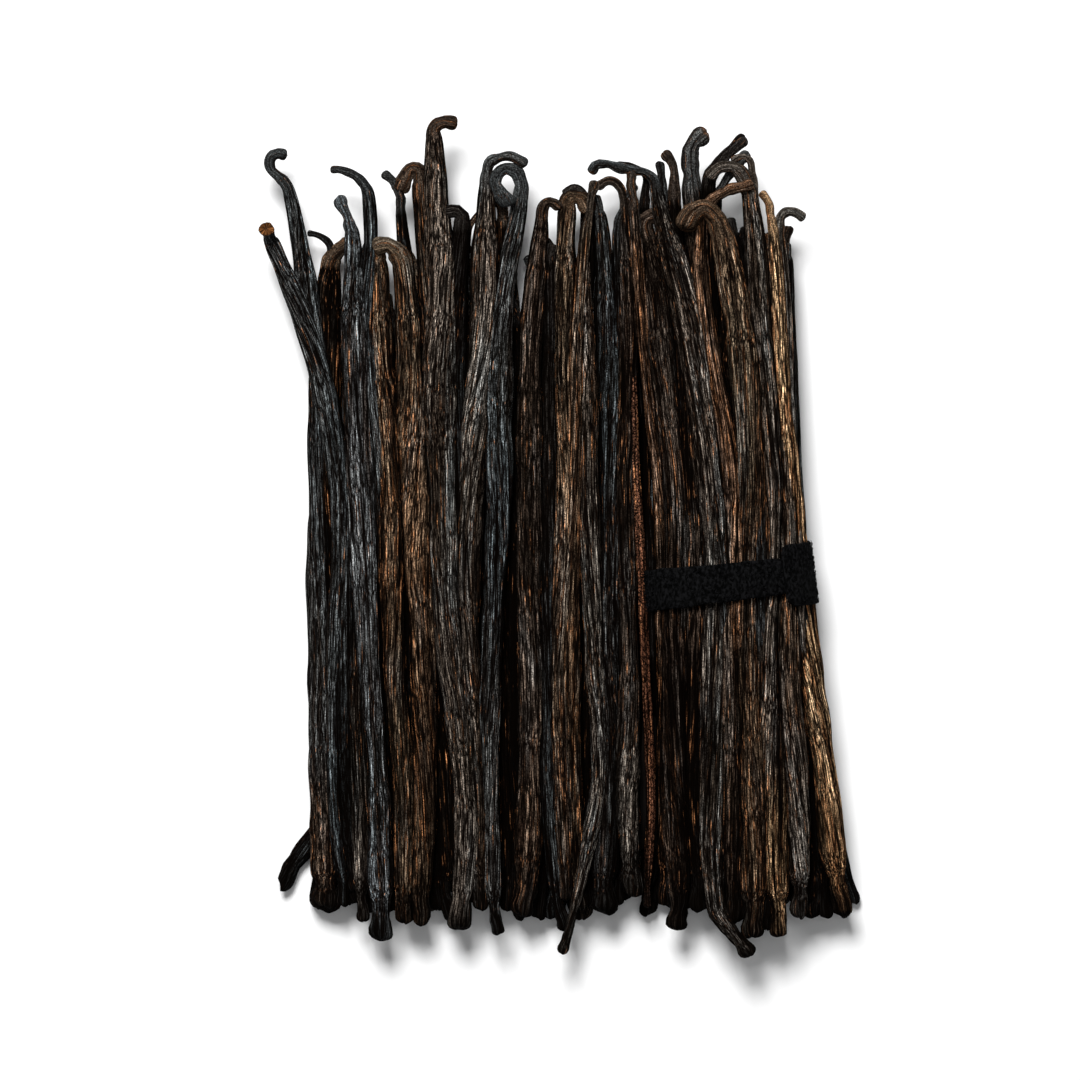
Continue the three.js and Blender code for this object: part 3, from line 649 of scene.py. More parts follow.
@dataclass
class Pod:
    """One cured pod: the blank bent along its route, with its own wrinkles and colours.

    The sizes of noise are strength, lattice points in a full turn and their distance in metres.
    """

    row: PodRow
    blank: PodBlank
    bundle: Bundle
    number: int
    wrinkle: float = 0.4  # mm between the lattice points that strands are drawn from
    strand_length: float = 0.022
    strand_limit: float = 0.56  # most lattice points of the strands, as a share of the sides
    depth: float = 0.34  # mm from groove to crest on a pod of common_size
    common_size: float = 0.00275
    fold: float = 0.17  # height of the broad folds as a share of the radius
    folds: tuple = ((1, 4, 0.07), (0.5, 10, 0.04))
    heap_folds: float = 0.45  # how much painted shade darkens the valleys of the folds
    strap_folds: float = 0.6  # the same painted shade where the strap squeezes the pods
    twist: tuple = (0.12, 0.045)
    wander: tuple = ((0.02, 5, 0.022), (0.005, 9, 0.007))
    hook_lumps: tuple = ((0.1, 5, 0.003), (0.085, 8, 0.0011))
    top_bias: float = 0.42  # more of the sides on top, where they show
    foot_end: tuple = ((-0.02, 0.36), (0.05, 0.62), (0.2, 0.86), (0.5, 1.04), (1.0, 1.08), (1.7, 1.0))
    stem_end: tuple = ((-2.4, 1.0), (-1.5, 1.0), (-0.9, 1.05), (-0.45, 1.05), (-0.12, 0.96),
                       (0.1, 0.76), (0.22, 0.5), (0.27, 0.24))
    cut_end: tuple = ((-2.4, 1.0), (-1.6, 0.92), (-0.9, 1.04), (-0.4, 1.2), (-0.05, 1.24), (0.1, 1.1),
                      (0.07, 0.85), (0.02, 0.42))
    end_detail: float = 0.004  # metres in which the rings get closer towards an end
    crust: float = 0.21  # lumps of the blossom end as a share of the radius
    crust_lumps: tuple = ((1, 5, 0.0019), (0.5, 11, 0.001))
    crust_reach: float = 6.5  # mm
    ragged: float = 0.34  # how uneven the ends are along the pod, in half widths
    black_foot: tuple = (6.0, 14.0)  # mm of the foot that go black
    foot_tone_line: tuple = (700, 120)  # steps down where the foot's tone starts, and its blend
    hook_tone_line: tuple = (50, 70)  # steps below the neck where the hook's starts, and its blend
    patches: tuple = (0.7, 8, 0.012)
    glow: tuple = (0.24, 4, 0.025)
    brightest: float = 1.8
    open_depth: float = 0.32  # mm under the bundle's skin that get no painted shade
    shade_depth: float = 0.42  # mm in which painted shade darkens the skin towards the creases
    flank: tuple = (0.18, 0.6)  # heights on the flank where the painted shade is full and where it ends, in half thicknesses
    flank_shade: float = 0.94  # how much painted shade darkens the low flanks
    crowded: tuple = (9.0, 12.0)  # mm of the bundle's skin over which a flank lies in a crease
    deep_shade: float = 0.03
    floor: float = 0.08  # mm over the surface that the lowest skin stays
    # Blue-grey of the skin's bloom and of painted sheen on the strands.
    bloom_and_sheen: str = "#65696a"
    cast: tuple = (0.1, 0.0, -0.06)  # how much warmer and cooler patches of a pod are
    warmth: tuple = (1.05, 1.1, 1.1)  # a last tint over all the skin
    scar: str = "#704726"

    @property
    def in_hank(self) -> bool:
        """Whether the strap holds the pod."""
        return self.row.foot[0] > self.bundle.hank_left[1][0]

    def place_rings(self, route: dict[str, Array]) -> Rings:
        """Spreads the rings along a route, closer at the ends and in the bends.

        Args:
            route: what Route.settle returns.

        Returns:
            The rings.
        """
        along, half_width = route["along"], route["half_width"]
        foot, stem, end = half_width[0], half_width[-1], along[-1]
        stem_end = self.cut_end if self.row.scar > 0.5 else self.stem_end
        foot_s = [(s - 0.8) * foot for s, _ in self.foot_end]
        stem_s = [end + (s + 0.9) * stem for s, _ in stem_end]
        weight = (1 + 2.4 * route["bend"] + 1.5 * np.exp(-along / self.end_detail)
                  + 1.5 * np.exp((along - end) / self.end_detail))
        dense = np.linspace(foot_s[-1], stem_s[0], 2000)
        total = np.cumsum(np.interp(dense, along, weight))
        total -= total[0]
        inner = self.blank.rings - len(foot_s) - len(stem_s) + 2
        body_s = np.interp(np.linspace(0, total[-1], inner), total, dense)[1:-1]
        s = [*foot_s, *body_s, *stem_s, foot_s[0] - 0.01 * foot, stem_s[-1] - 0.05 * stem]
        size = [*(v for _, v in self.foot_end), *np.ones(len(body_s)), *(v for _, v in stem_end), 0, 0]
        others = (np.interp(s, along, route[name]) for name in ("half_width", "half_thick", "down", "bend"))
        return Rings(np.array(s), np.array(size, float), *others, end)

    def spine(self, route: dict[str, Array], at: Rings) -> tuple[Array, ...]:
        """Which way each ring faces.

        Args:
            route: what Route.settle returns.
            at: the rings.

        Returns:
            The middle, the way onwards, the way sideways and the way up of each ring.
        """
        centre, tangent = (np.column_stack([np.interp(at.s, route["along"], line[:, k]) for k in range(3)])
                           for line in (route["points"], np.gradient(route["points"], axis=0)))
        tangent /= np.linalg.norm(tangent, axis=1)[:, None]
        past = np.minimum(at.s, 0) + np.maximum(at.s - at.end, 0)
        side = np.cross(tangent, (0, 0, 1))
        side /= np.linalg.norm(side, axis=1)[:, None]
        return centre + tangent * past[:, None], tangent, side, np.cross(side, tangent)

    def shape(self) -> dict[str, Array]:
        """The pod's vertices and what its skin needs at each of them.

        Returns:
            Arrays by name: place, grain (the skin's coordinates in mm), ridge (its height from 0
            to 1, lower in the fold valleys as painted shade), streak (how many lines are orange), kind
            (black foot, hook and rope shares) and tone, which holds painted shade in the creases.
        """
        grain = Grain(SEED * 1000 + self.number)
        route = Route(self.row, self.bundle, grain).settle()
        at = self.place_rings(route)
        along = at.s[:, None]
        turns = np.arange(self.blank.sides) / self.blank.sides
        angle = 2 * np.pi * turns
        angle = angle + self.top_bias * np.cos(angle)
        mean = float(np.mean(route["half_width"]))
        turned, strand, relief, ridge = self.wrinkles(grain, angle, at, mean)
        centre, tangent, side, top = (v[:, None] for v in self.spine(route, at))
        radius = at.size[:, None] * (1 + relief)
        wide = np.cos(angle) * radius * at.half_width[:, None]
        thick = np.sin(angle) * radius * at.half_thick[:, None]
        uneven = self.uneven_ends(grain, turns, at)
        place = centre - side * wide[..., None] + top * thick[..., None] + tangent * uneven[..., None]
        place[..., 2] = np.maximum(place[..., 2], self.floor * MM)
        tone, streak = self.tones(grain, turned, strand, at)
        # Painted shade: the skin darker in the creases between the pods and on their low flanks.
        tone = tone * self.shade(place, np.sin(angle), at.bend[:, None])[..., None]
        past_end = (at.s - at.end) / at.half_width[-1]
        cut = smooth((past_end - 0.75) / 0.2)[:, None] * self.row.scar
        cracks = np.exp(0.8 * grain.sheet(turned, along, 9, 0.0008))[..., None]
        tone = tone * (1 - cut[..., None]) + np.array(linear(self.scar)) * cracks * cut[..., None]
        black = grain.random.uniform(*self.black_foot) + 1.1 * sum(self.row.heel[::2]) * STEP_MM
        foot = smooth(1.2 - along / MM / black + 0.35 * grain.sheet(turned, along, 12, 0.006))
        hook = (at.bend * (at.down < self.row.neck[1] + 60))[:, None]
        round_mm = at.half_width[:, None] / MM
        skin = (np.cos(2 * np.pi * turned) * round_mm, np.sin(2 * np.pi * turned) * round_mm,
                along / MM + 400.0 * self.number)
        return self.on_blank({"place": place, "grain": stacked(*skin), "ridge": ridge,
                              "streak": streak * (1 - cut), "kind": stacked(foot, hook, self.row.rope),
                              "tone": tone})

    def uneven_ends(self, grain: Grain, turns: Array, at: Rings) -> Array:
        """The lumps of the two ends.

        Args:
            grain: the pod's noise.
            turns: turns around the pod of each side.
            at: the rings.

        Returns:
            How far each vertex is out of its ring, along the pod, in metres.
        """
        foot, stem = at.half_width[0], at.half_width[-1]
        foot_lump, stem_lump = (grain.sheet(turns[None], np.zeros((1, 1)), 5, 1.0) for _ in range(2))
        near_foot = smooth(1 - at.s / (2.2 * foot))[:, None]
        near_stem = smooth(1 - (at.end - at.s) / (1.5 * stem))[:, None]
        return self.ragged * (near_foot * foot_lump * foot + near_stem * stem_lump * stem * 0.6)

    def wrinkles(self, grain: Grain, angle: Array, at: Rings, mean: float) -> tuple[Array, ...]:
        """Strands that wander, join and part along the pod, over a few broad folds.

        Args:
            grain: the pod's noise.
            angle: angles around the pod.
            at: the rings.
            mean: the pod's mean half width in metres.

        Returns:
            Turns around that follow the strands, the signed strand that is 0 in the grooves, the
            relief as a share of the radius, and the height of the skin from 0 to 1, lowered in the
            fold valleys as painted shade.
        """
        around, along, bend = angle[None, :] / (2 * np.pi), at.s[:, None], at.bend[:, None]
        sides = self.blank.sides
        cells = 2 * np.pi * mean * 0.9 / (self.wrinkle * MM)
        cells = int(np.clip(cells, 6, int(sides * self.strand_limit)))
        turned = around + grain.waves(at.s, self.twist)[:, None] + grain.layers(around, along, self.wander)
        broad = grain.layers(turned, along, self.folds)
        staggered = along + 0.014 * grain.sheet(turned, np.zeros_like(along), cells // 3, 1.0)
        strand = grain.sheet(turned, staggered, cells, self.strand_length)
        second = grain.sheet(turned, staggered, sides // 5, 0.04)
        height = (0.75 * np.clip(np.abs(strand) / 0.5, 0, 1) ** 0.8
                  + 0.25 * np.clip(np.abs(second) / 0.3, 0, 1) ** 0.8)
        depth = self.depth * MM * (mean / self.common_size) ** 0.5 * (1 - 0.5 * bend)
        relief = self.fold * broad * (1 - 0.15 * bend) + (height - 0.75) * depth / at.half_width[:, None]
        relief = relief + bend * grain.layers(around, along, self.hook_lumps)
        crust = smooth(1.25 - along / (self.crust_reach * MM))
        relief = relief + self.crust * crust * grain.layers(around, along, self.crust_lumps)
        # Painted shade in the valleys of the broad folds.
        deep = self.strap_folds if self.in_hank else self.heap_folds
        ridge = height * (1 - deep * (1 - smooth(0.62 + 0.75 * broad)))
        return turned, strand, relief, np.clip(ridge, 0, 1)

    def tones(self, grain: Grain, turned: Array, strand: Array, at: Rings) -> tuple[Array, Array]:
        """The skin's colours over the pod, from the tone of its row.

        Args:
            grain: the pod's noise.
            turned: turns around that follow the strands.
            strand: the signed strand.
            at: the rings.

        Returns:
            Red, green and blue for each ring and side, and how many of its lines are orange.
        """
        along, lower, row = at.s[:, None], at.down[:, None], self.row
        tints = [(tone or row.tone).value for tone in (row.tone, row.foot_tone, row.hook_tone)]
        foot_line, foot_blend = self.foot_tone_line
        hook_line, hook_blend = self.hook_tone_line
        share = smooth((lower - foot_line) / foot_blend + 0.5 * grain.sheet(turned, along, 3, 0.02))
        hooked = smooth((row.neck[1] + hook_line - lower) / hook_blend
                        + 0.4 * grain.sheet(turned, along, 3, 0.01))

        def blend(name: str) -> Array:
            """A value of the tints, blended from the foot's to the pod's own and the hook's.

            Args:
                name: the field of the tints.

            Returns:
                The value, or the colour, for each ring and side.
            """
            values = [getattr(tint, name) for tint in tints]
            low, high = share, hooked
            if isinstance(values[0], str):
                values = [np.array(linear(value)) for value in values]
                low, high = share[..., None], hooked[..., None]
            a, b, c = values
            return (a * (1 - low) + b * low) * (1 - high) + c * high

        many = int(self.blank.sides * 0.55)
        stands = smooth(0.5 + 0.45 * strand + 0.5 * grain.sheet(turned, along, many, 0.024))[..., None]
        colour = blend("dark") * (1 - stands) + blend("light") * stands
        patch = grain.layers(turned, along, ((1, many // 2, 0.009), self.patches))
        calm = 1 - 0.6 * at.bend[:, None]
        # Blue-grey on the standing strands: partly the skin's bloom, partly painted sheen.
        bloom_and_sheen = (smooth(patch * 1.2 + 0.1) * blend("bloom_and_sheen") * calm)[..., None] * stands
        colour = colour * (1 - bloom_and_sheen) + np.array(linear(self.bloom_and_sheen)) * bloom_and_sheen
        streak = blend("streak") + 0.22 * grain.sheet(turned, along, 6, 0.02) * blend("streak") ** 0.5
        glow = np.exp(grain.layers(turned, along, ((0.2, many, 0.014), self.glow)))[..., None]
        cast = np.exp(np.array(self.cast) * grain.sheet(turned, along, 3, 0.03)[..., None])
        return colour * np.minimum(glow, self.brightest) * cast * self.warmth, np.clip(streak, 0, 1)

    def shade(self, place: Array, sine: Array, bend: Array) -> Array:
        """How much painted shade darkens the skin in the creases between the pods and on their low flanks.

        Args:
            place: the pod's surface in metres.
            sine: how far up the pod each side is, from -1 to 1.
            bend: how far each ring is into the hook or heel, as a column.

        Returns:
            1 at the bundle's top, down to deep_shade in the creases.
        """
        if self.row.bed is not None or (self.row.rim is not None and not 0 < self.row.rim < 180):
            return np.ones(place.shape[:2])

        def share(value: Array, span: tuple) -> Array:
            """How far a value is from the first to the second end of a span."""
            return smooth((value - span[0]) / (span[1] - span[0]))

        skin = self.bundle.skin((place[..., 0] - SHEET_ORIGIN[0]) / STEP,
                                (SHEET_ORIGIN[1] - place[..., 1]) / STEP)
        depth = skin - place[..., 2] / MM - self.open_depth
        crease = (1 - share(sine[None, :], self.flank)) * share(skin, self.crowded)
        light = np.exp(-np.maximum(depth, 0) / self.shade_depth) * (1 - self.flank_shade * crease)
        light = light * (1 - bend) + bend
        return self.deep_shade + (1 - self.deep_shade) * light

    def on_blank(self, sheets: dict[str, Array]) -> dict[str, Array]:
        """The values of ring and side at each vertex of the blank.

        Args:
            sheets: arrays of rings and sides, the last two rings being the poles.

        Returns:
            The same arrays with one row for each vertex.
        """
        ring = np.where(self.blank.pole, self.blank.rings + (self.blank.ring > 0), self.blank.ring)
        made = {}
        for name, sheet in sheets.items():
            sheet = sheet.copy()
            sheet[-2:] = sheet[-2:].mean(axis=1, keepdims=True)
            made[name] = sheet[ring, self.blank.slot]
        return made

    def build(self) -> Item:
        """The pod as an object of its own.

        Returns:
            The new object, linked to the scene.
        """
        values = self.shape()
        mesh = self.blank.mesh.copy()
        move_corners(mesh, values["place"])
        tone = np.clip(values["tone"], 0, 1)
        values["tone"] = np.column_stack([tone, np.ones(len(tone))])
        for name, kind, member in (("ridge", "FLOAT", "value"), ("streak", "FLOAT", "value"),
                                   ("grain", "FLOAT_VECTOR", "vector"),
                                   ("kind", "FLOAT_VECTOR", "vector"), ("tone", "FLOAT_COLOR", "color")):
            attribute = mesh.attributes.new(name, kind, "POINT")
            attribute.data.foreach_set(member, values[name].astype(np.float32).ravel())
        return in_scene(f"pod_{self.number}", mesh)


@dataclass
class NodeBoard:
    """Adds and joins the nodes of one material."""

    name: str

    def __post_init__(self) -> None:
        """Starts from an empty board with an output and a Principled shader."""
        self.material = bpy.data.materials.new(self.name)
        self.material.use_nodes = True
        self.tree = self.material.node_tree
        self.tree.nodes.clear()
        self.shader = self.add("ShaderNodeBsdfPrincipled")
        output = self.add("ShaderNodeOutputMaterial")
        self.tree.links.new(self.shader.outputs[0], output.inputs[0])

    def put(self, socket: Socket, value: object) -> None:
        """Joins an output to an input, or sets the input to a plain value.

        Args:
            socket: the input.
            value: the output or the plain value.
        """
        if isinstance(value, Socket):
            self.tree.links.new(value, socket)
        else:
            socket.default_value = value

    def add(self, kind: str, inputs: dict | None = None, **settings: str) -> bpy.types.Node:
        """Adds a node.

        Args:
            kind: the node's type.
            inputs: values or outputs for its inputs, by name or index.
            settings: its own properties.

        Returns:
            The node.
        """
        node = self.tree.nodes.new(kind)
        for name, value in settings.items():
            setattr(node, name, value)
        for name, value in (inputs or {}).items():
            self.put(node.inputs[name], value)
        return node

    def attribute(self, name: str, output: str = "Fac") -> Socket:
        """An attribute of the mesh, as a number, a colour or a vector."""
        return self.add("ShaderNodeAttribute", attribute_name=name).outputs[output]

    def noise(self, vector: Socket, scale: tuple, detail: float, offset: float = 0.0) -> Socket:
        """Adds noise around 0.5.

        Args:
            vector: the coordinates.
            scale: cells for each unit of the coordinates.
            detail: how many finer layers it has.
            offset: makes two noises of one scale differ.

        Returns:
            The noise.
        """
        mapping = self.add("ShaderNodeMapping", {"Vector": vector, "Scale": scale,
                                                 "Rotation": (0.7, 0.55, 0.4),
                                                 "Location": (offset, offset * 1.7, offset * 0.6)})
        return self.add("ShaderNodeTexNoise", {"Vector": mapping.outputs[0], "Scale": 1.0,
                                               "Detail": detail, "Roughness": 0.55}).outputs["Fac"]

    def ramp(self, value: Socket, low: float, high: float, start: float = 0.0, end: float = 1.0) -> Socket:
        """A soft step of a value from low to high."""
        return self.add("ShaderNodeMapRange", {0: value, 1: low, 2: high, 3: start, 4: end},
                        interpolation_type="SMOOTHSTEP").outputs[0]

    def maths(self, operation: str, a: object, b: object = 0.0) -> Socket:
        """One sum of two values."""
        return self.add("ShaderNodeMath", {0: a, 1: b}, operation=operation).outputs[0]

    def scaled(self, a: object, b: object, plus: object = 0.0) -> Socket:
        """A times b, plus a third value."""
        return self.add("ShaderNodeMath", {0: a, 1: b, 2: plus}, operation="MULTIPLY_ADD").outputs[0]

    def between(self, share: Socket, a: object, b: object) -> Socket:
        """A number between a, where share is 0, and b."""
        return self.add("ShaderNodeMix", {0: share, 2: a, 3: b}).outputs[0]

    def mix(self, share: Socket, a: object, b: object) -> Socket:
        """A colour between a, where share is 0, and b, each an output or a colour in hex."""
        a, b = ((*linear(end), 1.0) if isinstance(end, str) else end for end in (a, b))
        return self.add("ShaderNodeMix", {0: share, 6: a, 7: b}, data_type="RGBA").outputs[2]

    def dress(self, colour: object, roughness: object, specular: float, bump: tuple = ()) -> Material:
        """Joins everything to the shader.

        Args:
            colour: base colour.
            roughness: roughness.
            specular: how shiny it is, from 0 to 1.
            bump: height, strength and distance in metres, if it has any.

        Returns:
            The material.
        """
        for name, value in (("Base Color", colour), ("Roughness", roughness),
                            ("Specular IOR Level", specular)):
            self.put(self.shader.inputs[name], value)
        if bump:
            node = self.add("ShaderNodeBump", dict(zip(("Height", "Strength", "Distance"), bump)))
            self.put(self.shader.inputs["Normal"], node.outputs[0])
        return self.material


@dataclass(frozen=True)
class SkinNoise:
    """Noise in the skin's coordinates: strands with grooves between them, or light and dark specks."""

    scale: tuple  # cells for each mm
    detail: float
    offset: float
    strength: float = 1.0  # halvings and doublings of the light
    groove: tuple = ()  # noise where a groove ends and where the full strand starts

    def specks(self, board: NodeBoard, grain: Socket) -> Socket:
        """Noise around 0."""
        return board.maths("SUBTRACT", board.noise(grain, self.scale, self.detail, self.offset), 0.5)

    def ridges(self, board: NodeBoard, grain: Socket) -> Socket:
        """0 in the grooves and 1 on the strands."""
        return board.ramp(board.maths("ABSOLUTE", self.specks(board, grain)), *self.groove)


@dataclass(frozen=True)
class PodSkin:
    """Oily cured skin: strands that each have their own colour, with grooves between them in the skin's
    darkest brown deepened to near-black as painted shade.
    """

    name: str = "cured_pod_skin"
    # Near-black: the skin's dark brown deepened as painted shade in the grooves and fold valleys.
    groove: str = "#040201"
    tip: str = "#171615"
    tip_share: float = 0.88
    orange: str = "#795033"
    orange_share: float = 0.85
    orange_scale: tuple = (3.0, 3.0, 0.07)
    orange_span: tuple = (0.7, 0.78)
    streak_gain: float = 0.225
    strands: SkinNoise = SkinNoise((2.4, 2.4, 0.055), 1.5, 0.0, groove=(0.02, 0.16))
    hairs: SkinNoise = SkinNoise((4.6, 4.6, 0.15), 1.5, 5.0, groove=(0.0, 0.14))
    dashes: SkinNoise = SkinNoise((1.5, 1.5, 1.2), 1.5, 9.0, groove=(0.01, 0.12))
    flicker: SkinNoise = SkinNoise((3.2, 3.2, 0.08), 2.0, 3.0, 3.2)
    fleck: SkinNoise = SkinNoise((6.0, 6.0, 0.36), 1.0, 11.0, 12.0)
    grit: SkinNoise = SkinNoise((4.2, 4.2, 3.2), 1.0, 7.0, 14.0)
    gain: float = 3.6
    hook_calm: float = -0.45  # how much weaker the specks of the hooks are
    hook_light: float = -0.85  # how much darker the hooks are, in halvings and doublings
    specular: float = 0.012

    def material(self) -> Material:
        """The finish of all the pods, which reads each pod's own attributes.

        Returns:
            The material.
        """
        board = NodeBoard(self.name)
        grain, ridge = board.attribute("grain", "Vector"), board.attribute("ridge")
        tip, hook, rope = board.add("ShaderNodeSeparateXYZ", {0: board.attribute("kind", "Vector")}).outputs
        strands, hairs, dashes = (
            noise.ridges(board, grain) for noise in (self.strands, self.hairs, self.dashes))
        open_skin = board.scaled(board.scaled(strands, 0.98, 0.02), board.scaled(hairs, 0.9, 0.1))
        open_skin = board.between(rope, open_skin, dashes)
        open_skin = board.between(board.scaled(hook, 0.5), open_skin, 0.42)
        # Low skin and fold valleys go towards the groove colour: painted shade.
        ridge = board.between(board.scaled(hook, 0.6), board.ramp(ridge, 0.12, 0.62), 0.85)
        open_skin = board.scaled(ridge, open_skin)
        lines = board.scaled(board.attribute("streak"), self.streak_gain,
                             board.noise(grain, self.orange_scale, 2.0, 17.0))
        lines = board.scaled(board.ramp(lines, *self.orange_span), self.orange_share)
        colour = board.mix(lines, board.attribute("tone", "Color"), self.orange)
        body = board.add("ShaderNodeVectorMath", {0: colour, "Scale": self.light(board, grain, hook)},
                         operation="SCALE").outputs[0]
        body = board.mix(board.scaled(tip, self.tip_share), body, self.tip)
        return board.dress(board.mix(open_skin, self.groove, body),
                            board.ramp(open_skin, 0.1, 0.8, 0.95, 0.45), self.specular,
                            (board.scaled(hairs, 0.3, strands), 0.8, 0.00018))

    def light(self, board: NodeBoard, grain: Socket, hook: Socket) -> Socket:
        """How bright each strand and speck is, calmer and darker on the hooks.

        Args:
            board: the material's board.
            grain: the skin's coordinates in mm.
            hook: the hook's share.

        Returns:
            The light, around 1.
        """
        flicker, fleck, grit = (
            noise.specks(board, grain) for noise in (self.flicker, self.fleck, self.grit))
        power = board.scaled(flicker, self.flicker.strength, board.scaled(fleck, self.fleck.strength))
        power = board.scaled(power, board.scaled(hook, self.hook_calm, 1.0))
        power = board.scaled(grit, self.grit.strength, board.scaled(hook, self.hook_light, power))
        bright = board.scaled(board.maths("POWER", 2.0, power), self.gain)
        return board.maths("DIVIDE", bright, board.scaled(bright, 0.12, 0.78))


@dataclass(frozen=True)
class DarkFinish:
    """A matt finish of two dark colours in one noise."""

    name: str
    dark: str
    light: str
    scale: tuple  # cells for each metre
    detail: float
    light_span: tuple  # noise where the dark ends and where the light starts
    roughness: tuple  # of the dark and of the light
    specular: float
    bump: tuple  # strength and distance in metres

    def material(self) -> Material:
        """The finish, in the piece's own coordinates.

        Returns:
            The material.
        """
        board = NodeBoard(self.name)
        noise = board.noise(board.add("ShaderNodeTexCoord").outputs["Object"], self.scale, self.detail)
        return board.dress(board.mix(board.ramp(noise, *self.light_span), self.dark, self.light),
                            board.ramp(noise, 0.3, 0.7, *self.roughness), self.specular,
                            (noise, *self.bump))


# The core's near-black colour is painted shade of the bundle's inside, seen only through the gaps between
# the pods.
CORE_FINISH = DarkFinish("bundle_core", "#060403", "#140d09", (900, 60, 900), 3.0, (0.4, 0.65),
                         (0.95, 0.8), 0.1, (0.5, 0.0004))
LOOP_FABRIC = DarkFinish("black_loop_fabric", "#030303", "#121213", (1500, 900, 1500), 4.0, (0.38, 0.68),
                         (0.98, 0.86), 0.02, (0.8, 0.0003))


def joined(parts: list[Item], name: str) -> Item:
    """Joins objects into one piece.

    Args:
        parts: the objects.
        name: the piece's name.

    Returns:
        The piece.
    """
    bpy.ops.object.select_all(action="DESELECT")
    for part in parts:
        part.select_set(True)
    bpy.context.view_layer.objects.active = parts[0]
    if len(parts) > 1:
        bpy.ops.object.join()
    piece = parts[0]
    piece.name = piece.data.name = name
    piece.select_set(False)
    return piece


def finish_piece(piece: Item, material: Material, node: str) -> None:
    """Gives a piece its finish and its place in the part.

    Args:
        piece: the piece.
        material: its finish.
        node: the solid that it stands for.
    """
    piece.data.materials.clear()
    piece.data.materials.append(material)
    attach(piece, ROOT)
    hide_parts(node)
    faces = sum(len(p.vertices) - 2 for p in piece.data.polygons)
    lowest = min(v.co.z for v in piece.data.vertices) / MM
    count = len(piece.data.vertices)
    LOG.info("%s: %d vertices, %d triangles, lowest %.2f mm", piece.name, count, faces, lowest)


@dataclass
class PodGroup:
    """Pods that lie together, joined into one piece."""

    name: str
    bundle: Bundle
    members: list[tuple[PodRow, PodBlank, int]]

    def build(self, skin: Material) -> None:
        """Builds the pods, joins them and gives them their finish."""
        parts = [Pod(row, blank, self.bundle, number).build() for row, blank, number in self.members]
        finish_piece(joined(parts, self.name), skin, "pods")


@dataclass
class HiddenLayers:
    """The pods that the top ones lie on: the lowest layer, a covered one, and the hank's rim."""

    bundle: Bundle
    tones: tuple = (Tone.BLACK, Tone.CHARCOAL, Tone.DARK_BROWN, Tone.GREY_BROWN, Tone.ORANGE_BROWN,
                    Tone.DARK_BROWN, Tone.CHARCOAL, Tone.BROWN)
    # Darker tones for the covered pods, as painted shade under the top ones.
    shaded_tones: tuple = (Tone.BLACK, Tone.DARK_BROWN, Tone.BLACK, Tone.BROWN, Tone.DARK_BROWN)
    spacing: float = 21.5
    width: tuple = (20, 24)
    neck_width: float = 12
    cover: float = -4.4  # mm from the bundle's skin to the covered layer
    short: int = 2  # pods at the left of a layer that end lower, under the open gap between the top ones
    short_necks: tuple = (445, 470)
    crossing_shares: tuple = (0.16, 0.42, 0.68, 0.94)  # way from foot to neck of the CROSS_LINES
    bed_draw: float = 0.3  # mm
    rim_feet: tuple = (884, 908)
    rim_necks: tuple = (245, 280)
    rim_angles: tuple = tuple(range(196, 361, 14))
    covered_angles: tuple = tuple(range(20, 165, 15))

    def __post_init__(self) -> None:
        """Starts the draws."""
        self.random = np.random.default_rng(SEED)

    def layer(self, left: float, right: float, feet: tuple, necks: tuple,
              bed: float | None) -> list[PodRow]:
        """Rows of one layer, evenly spread with a small draw each.

        Args:
            left: steps across of the first pod.
            right: steps across that none is past.
            feet: lowest and highest place down of the feet.
            necks: the same of the necks.
            bed: height of their middles in mm, or None to follow the bundle's skin.

        Returns:
            The rows.
        """
        rows = []
        draw = self.random.uniform
        tones = self.shaded_tones if bed is None else self.tones
        for i, across in enumerate(np.arange(left, right, self.spacing)):
            foot = across + draw(-4, 4)
            neck = across + draw(-6, 6)
            top = draw(*(self.short_necks if i < self.short else necks))
            width = draw(*self.width)
            lines = tuple(foot + (neck - foot) * t + draw(-3, 3) for t in self.crossing_shares)
            foot_end = draw(*feet)
            hook = (draw(12, 20), draw(-45, 45), draw(6, 12), draw(-60, 60))
            rows.append(PodRow((foot, foot_end), lines, (neck, top), (width, width, self.neck_width),
                               (self.cover, self.cover), hook, tones[i * 3 % len(tones)],
                               bed=bed and bed + draw(0, self.bed_draw)))
        return rows

    def rim(self, angles: tuple, lift: float, tones: tuple) -> list[PodRow]:
        """Rows round the hank.

        Args:
            angles: where they lie, in degrees round the hank.
            lift: mm over the hank's skin.
            tones: their tones in turn.

        Returns:
            The rows.
        """
        rows = []
        draw = self.random.uniform
        for i, angle in enumerate(angles):
            width = draw(*self.width)
            rows.append(PodRow((0, draw(*self.rim_feet)), (0, 0, 0, 0), (0, draw(*self.rim_necks)),
                               (width, width, self.neck_width), (lift, lift),
                               (draw(12, 20), draw(-25, 25)), tones[(i * 3 + 1) % len(tones)],
                               rim=float(angle)))
        return rows


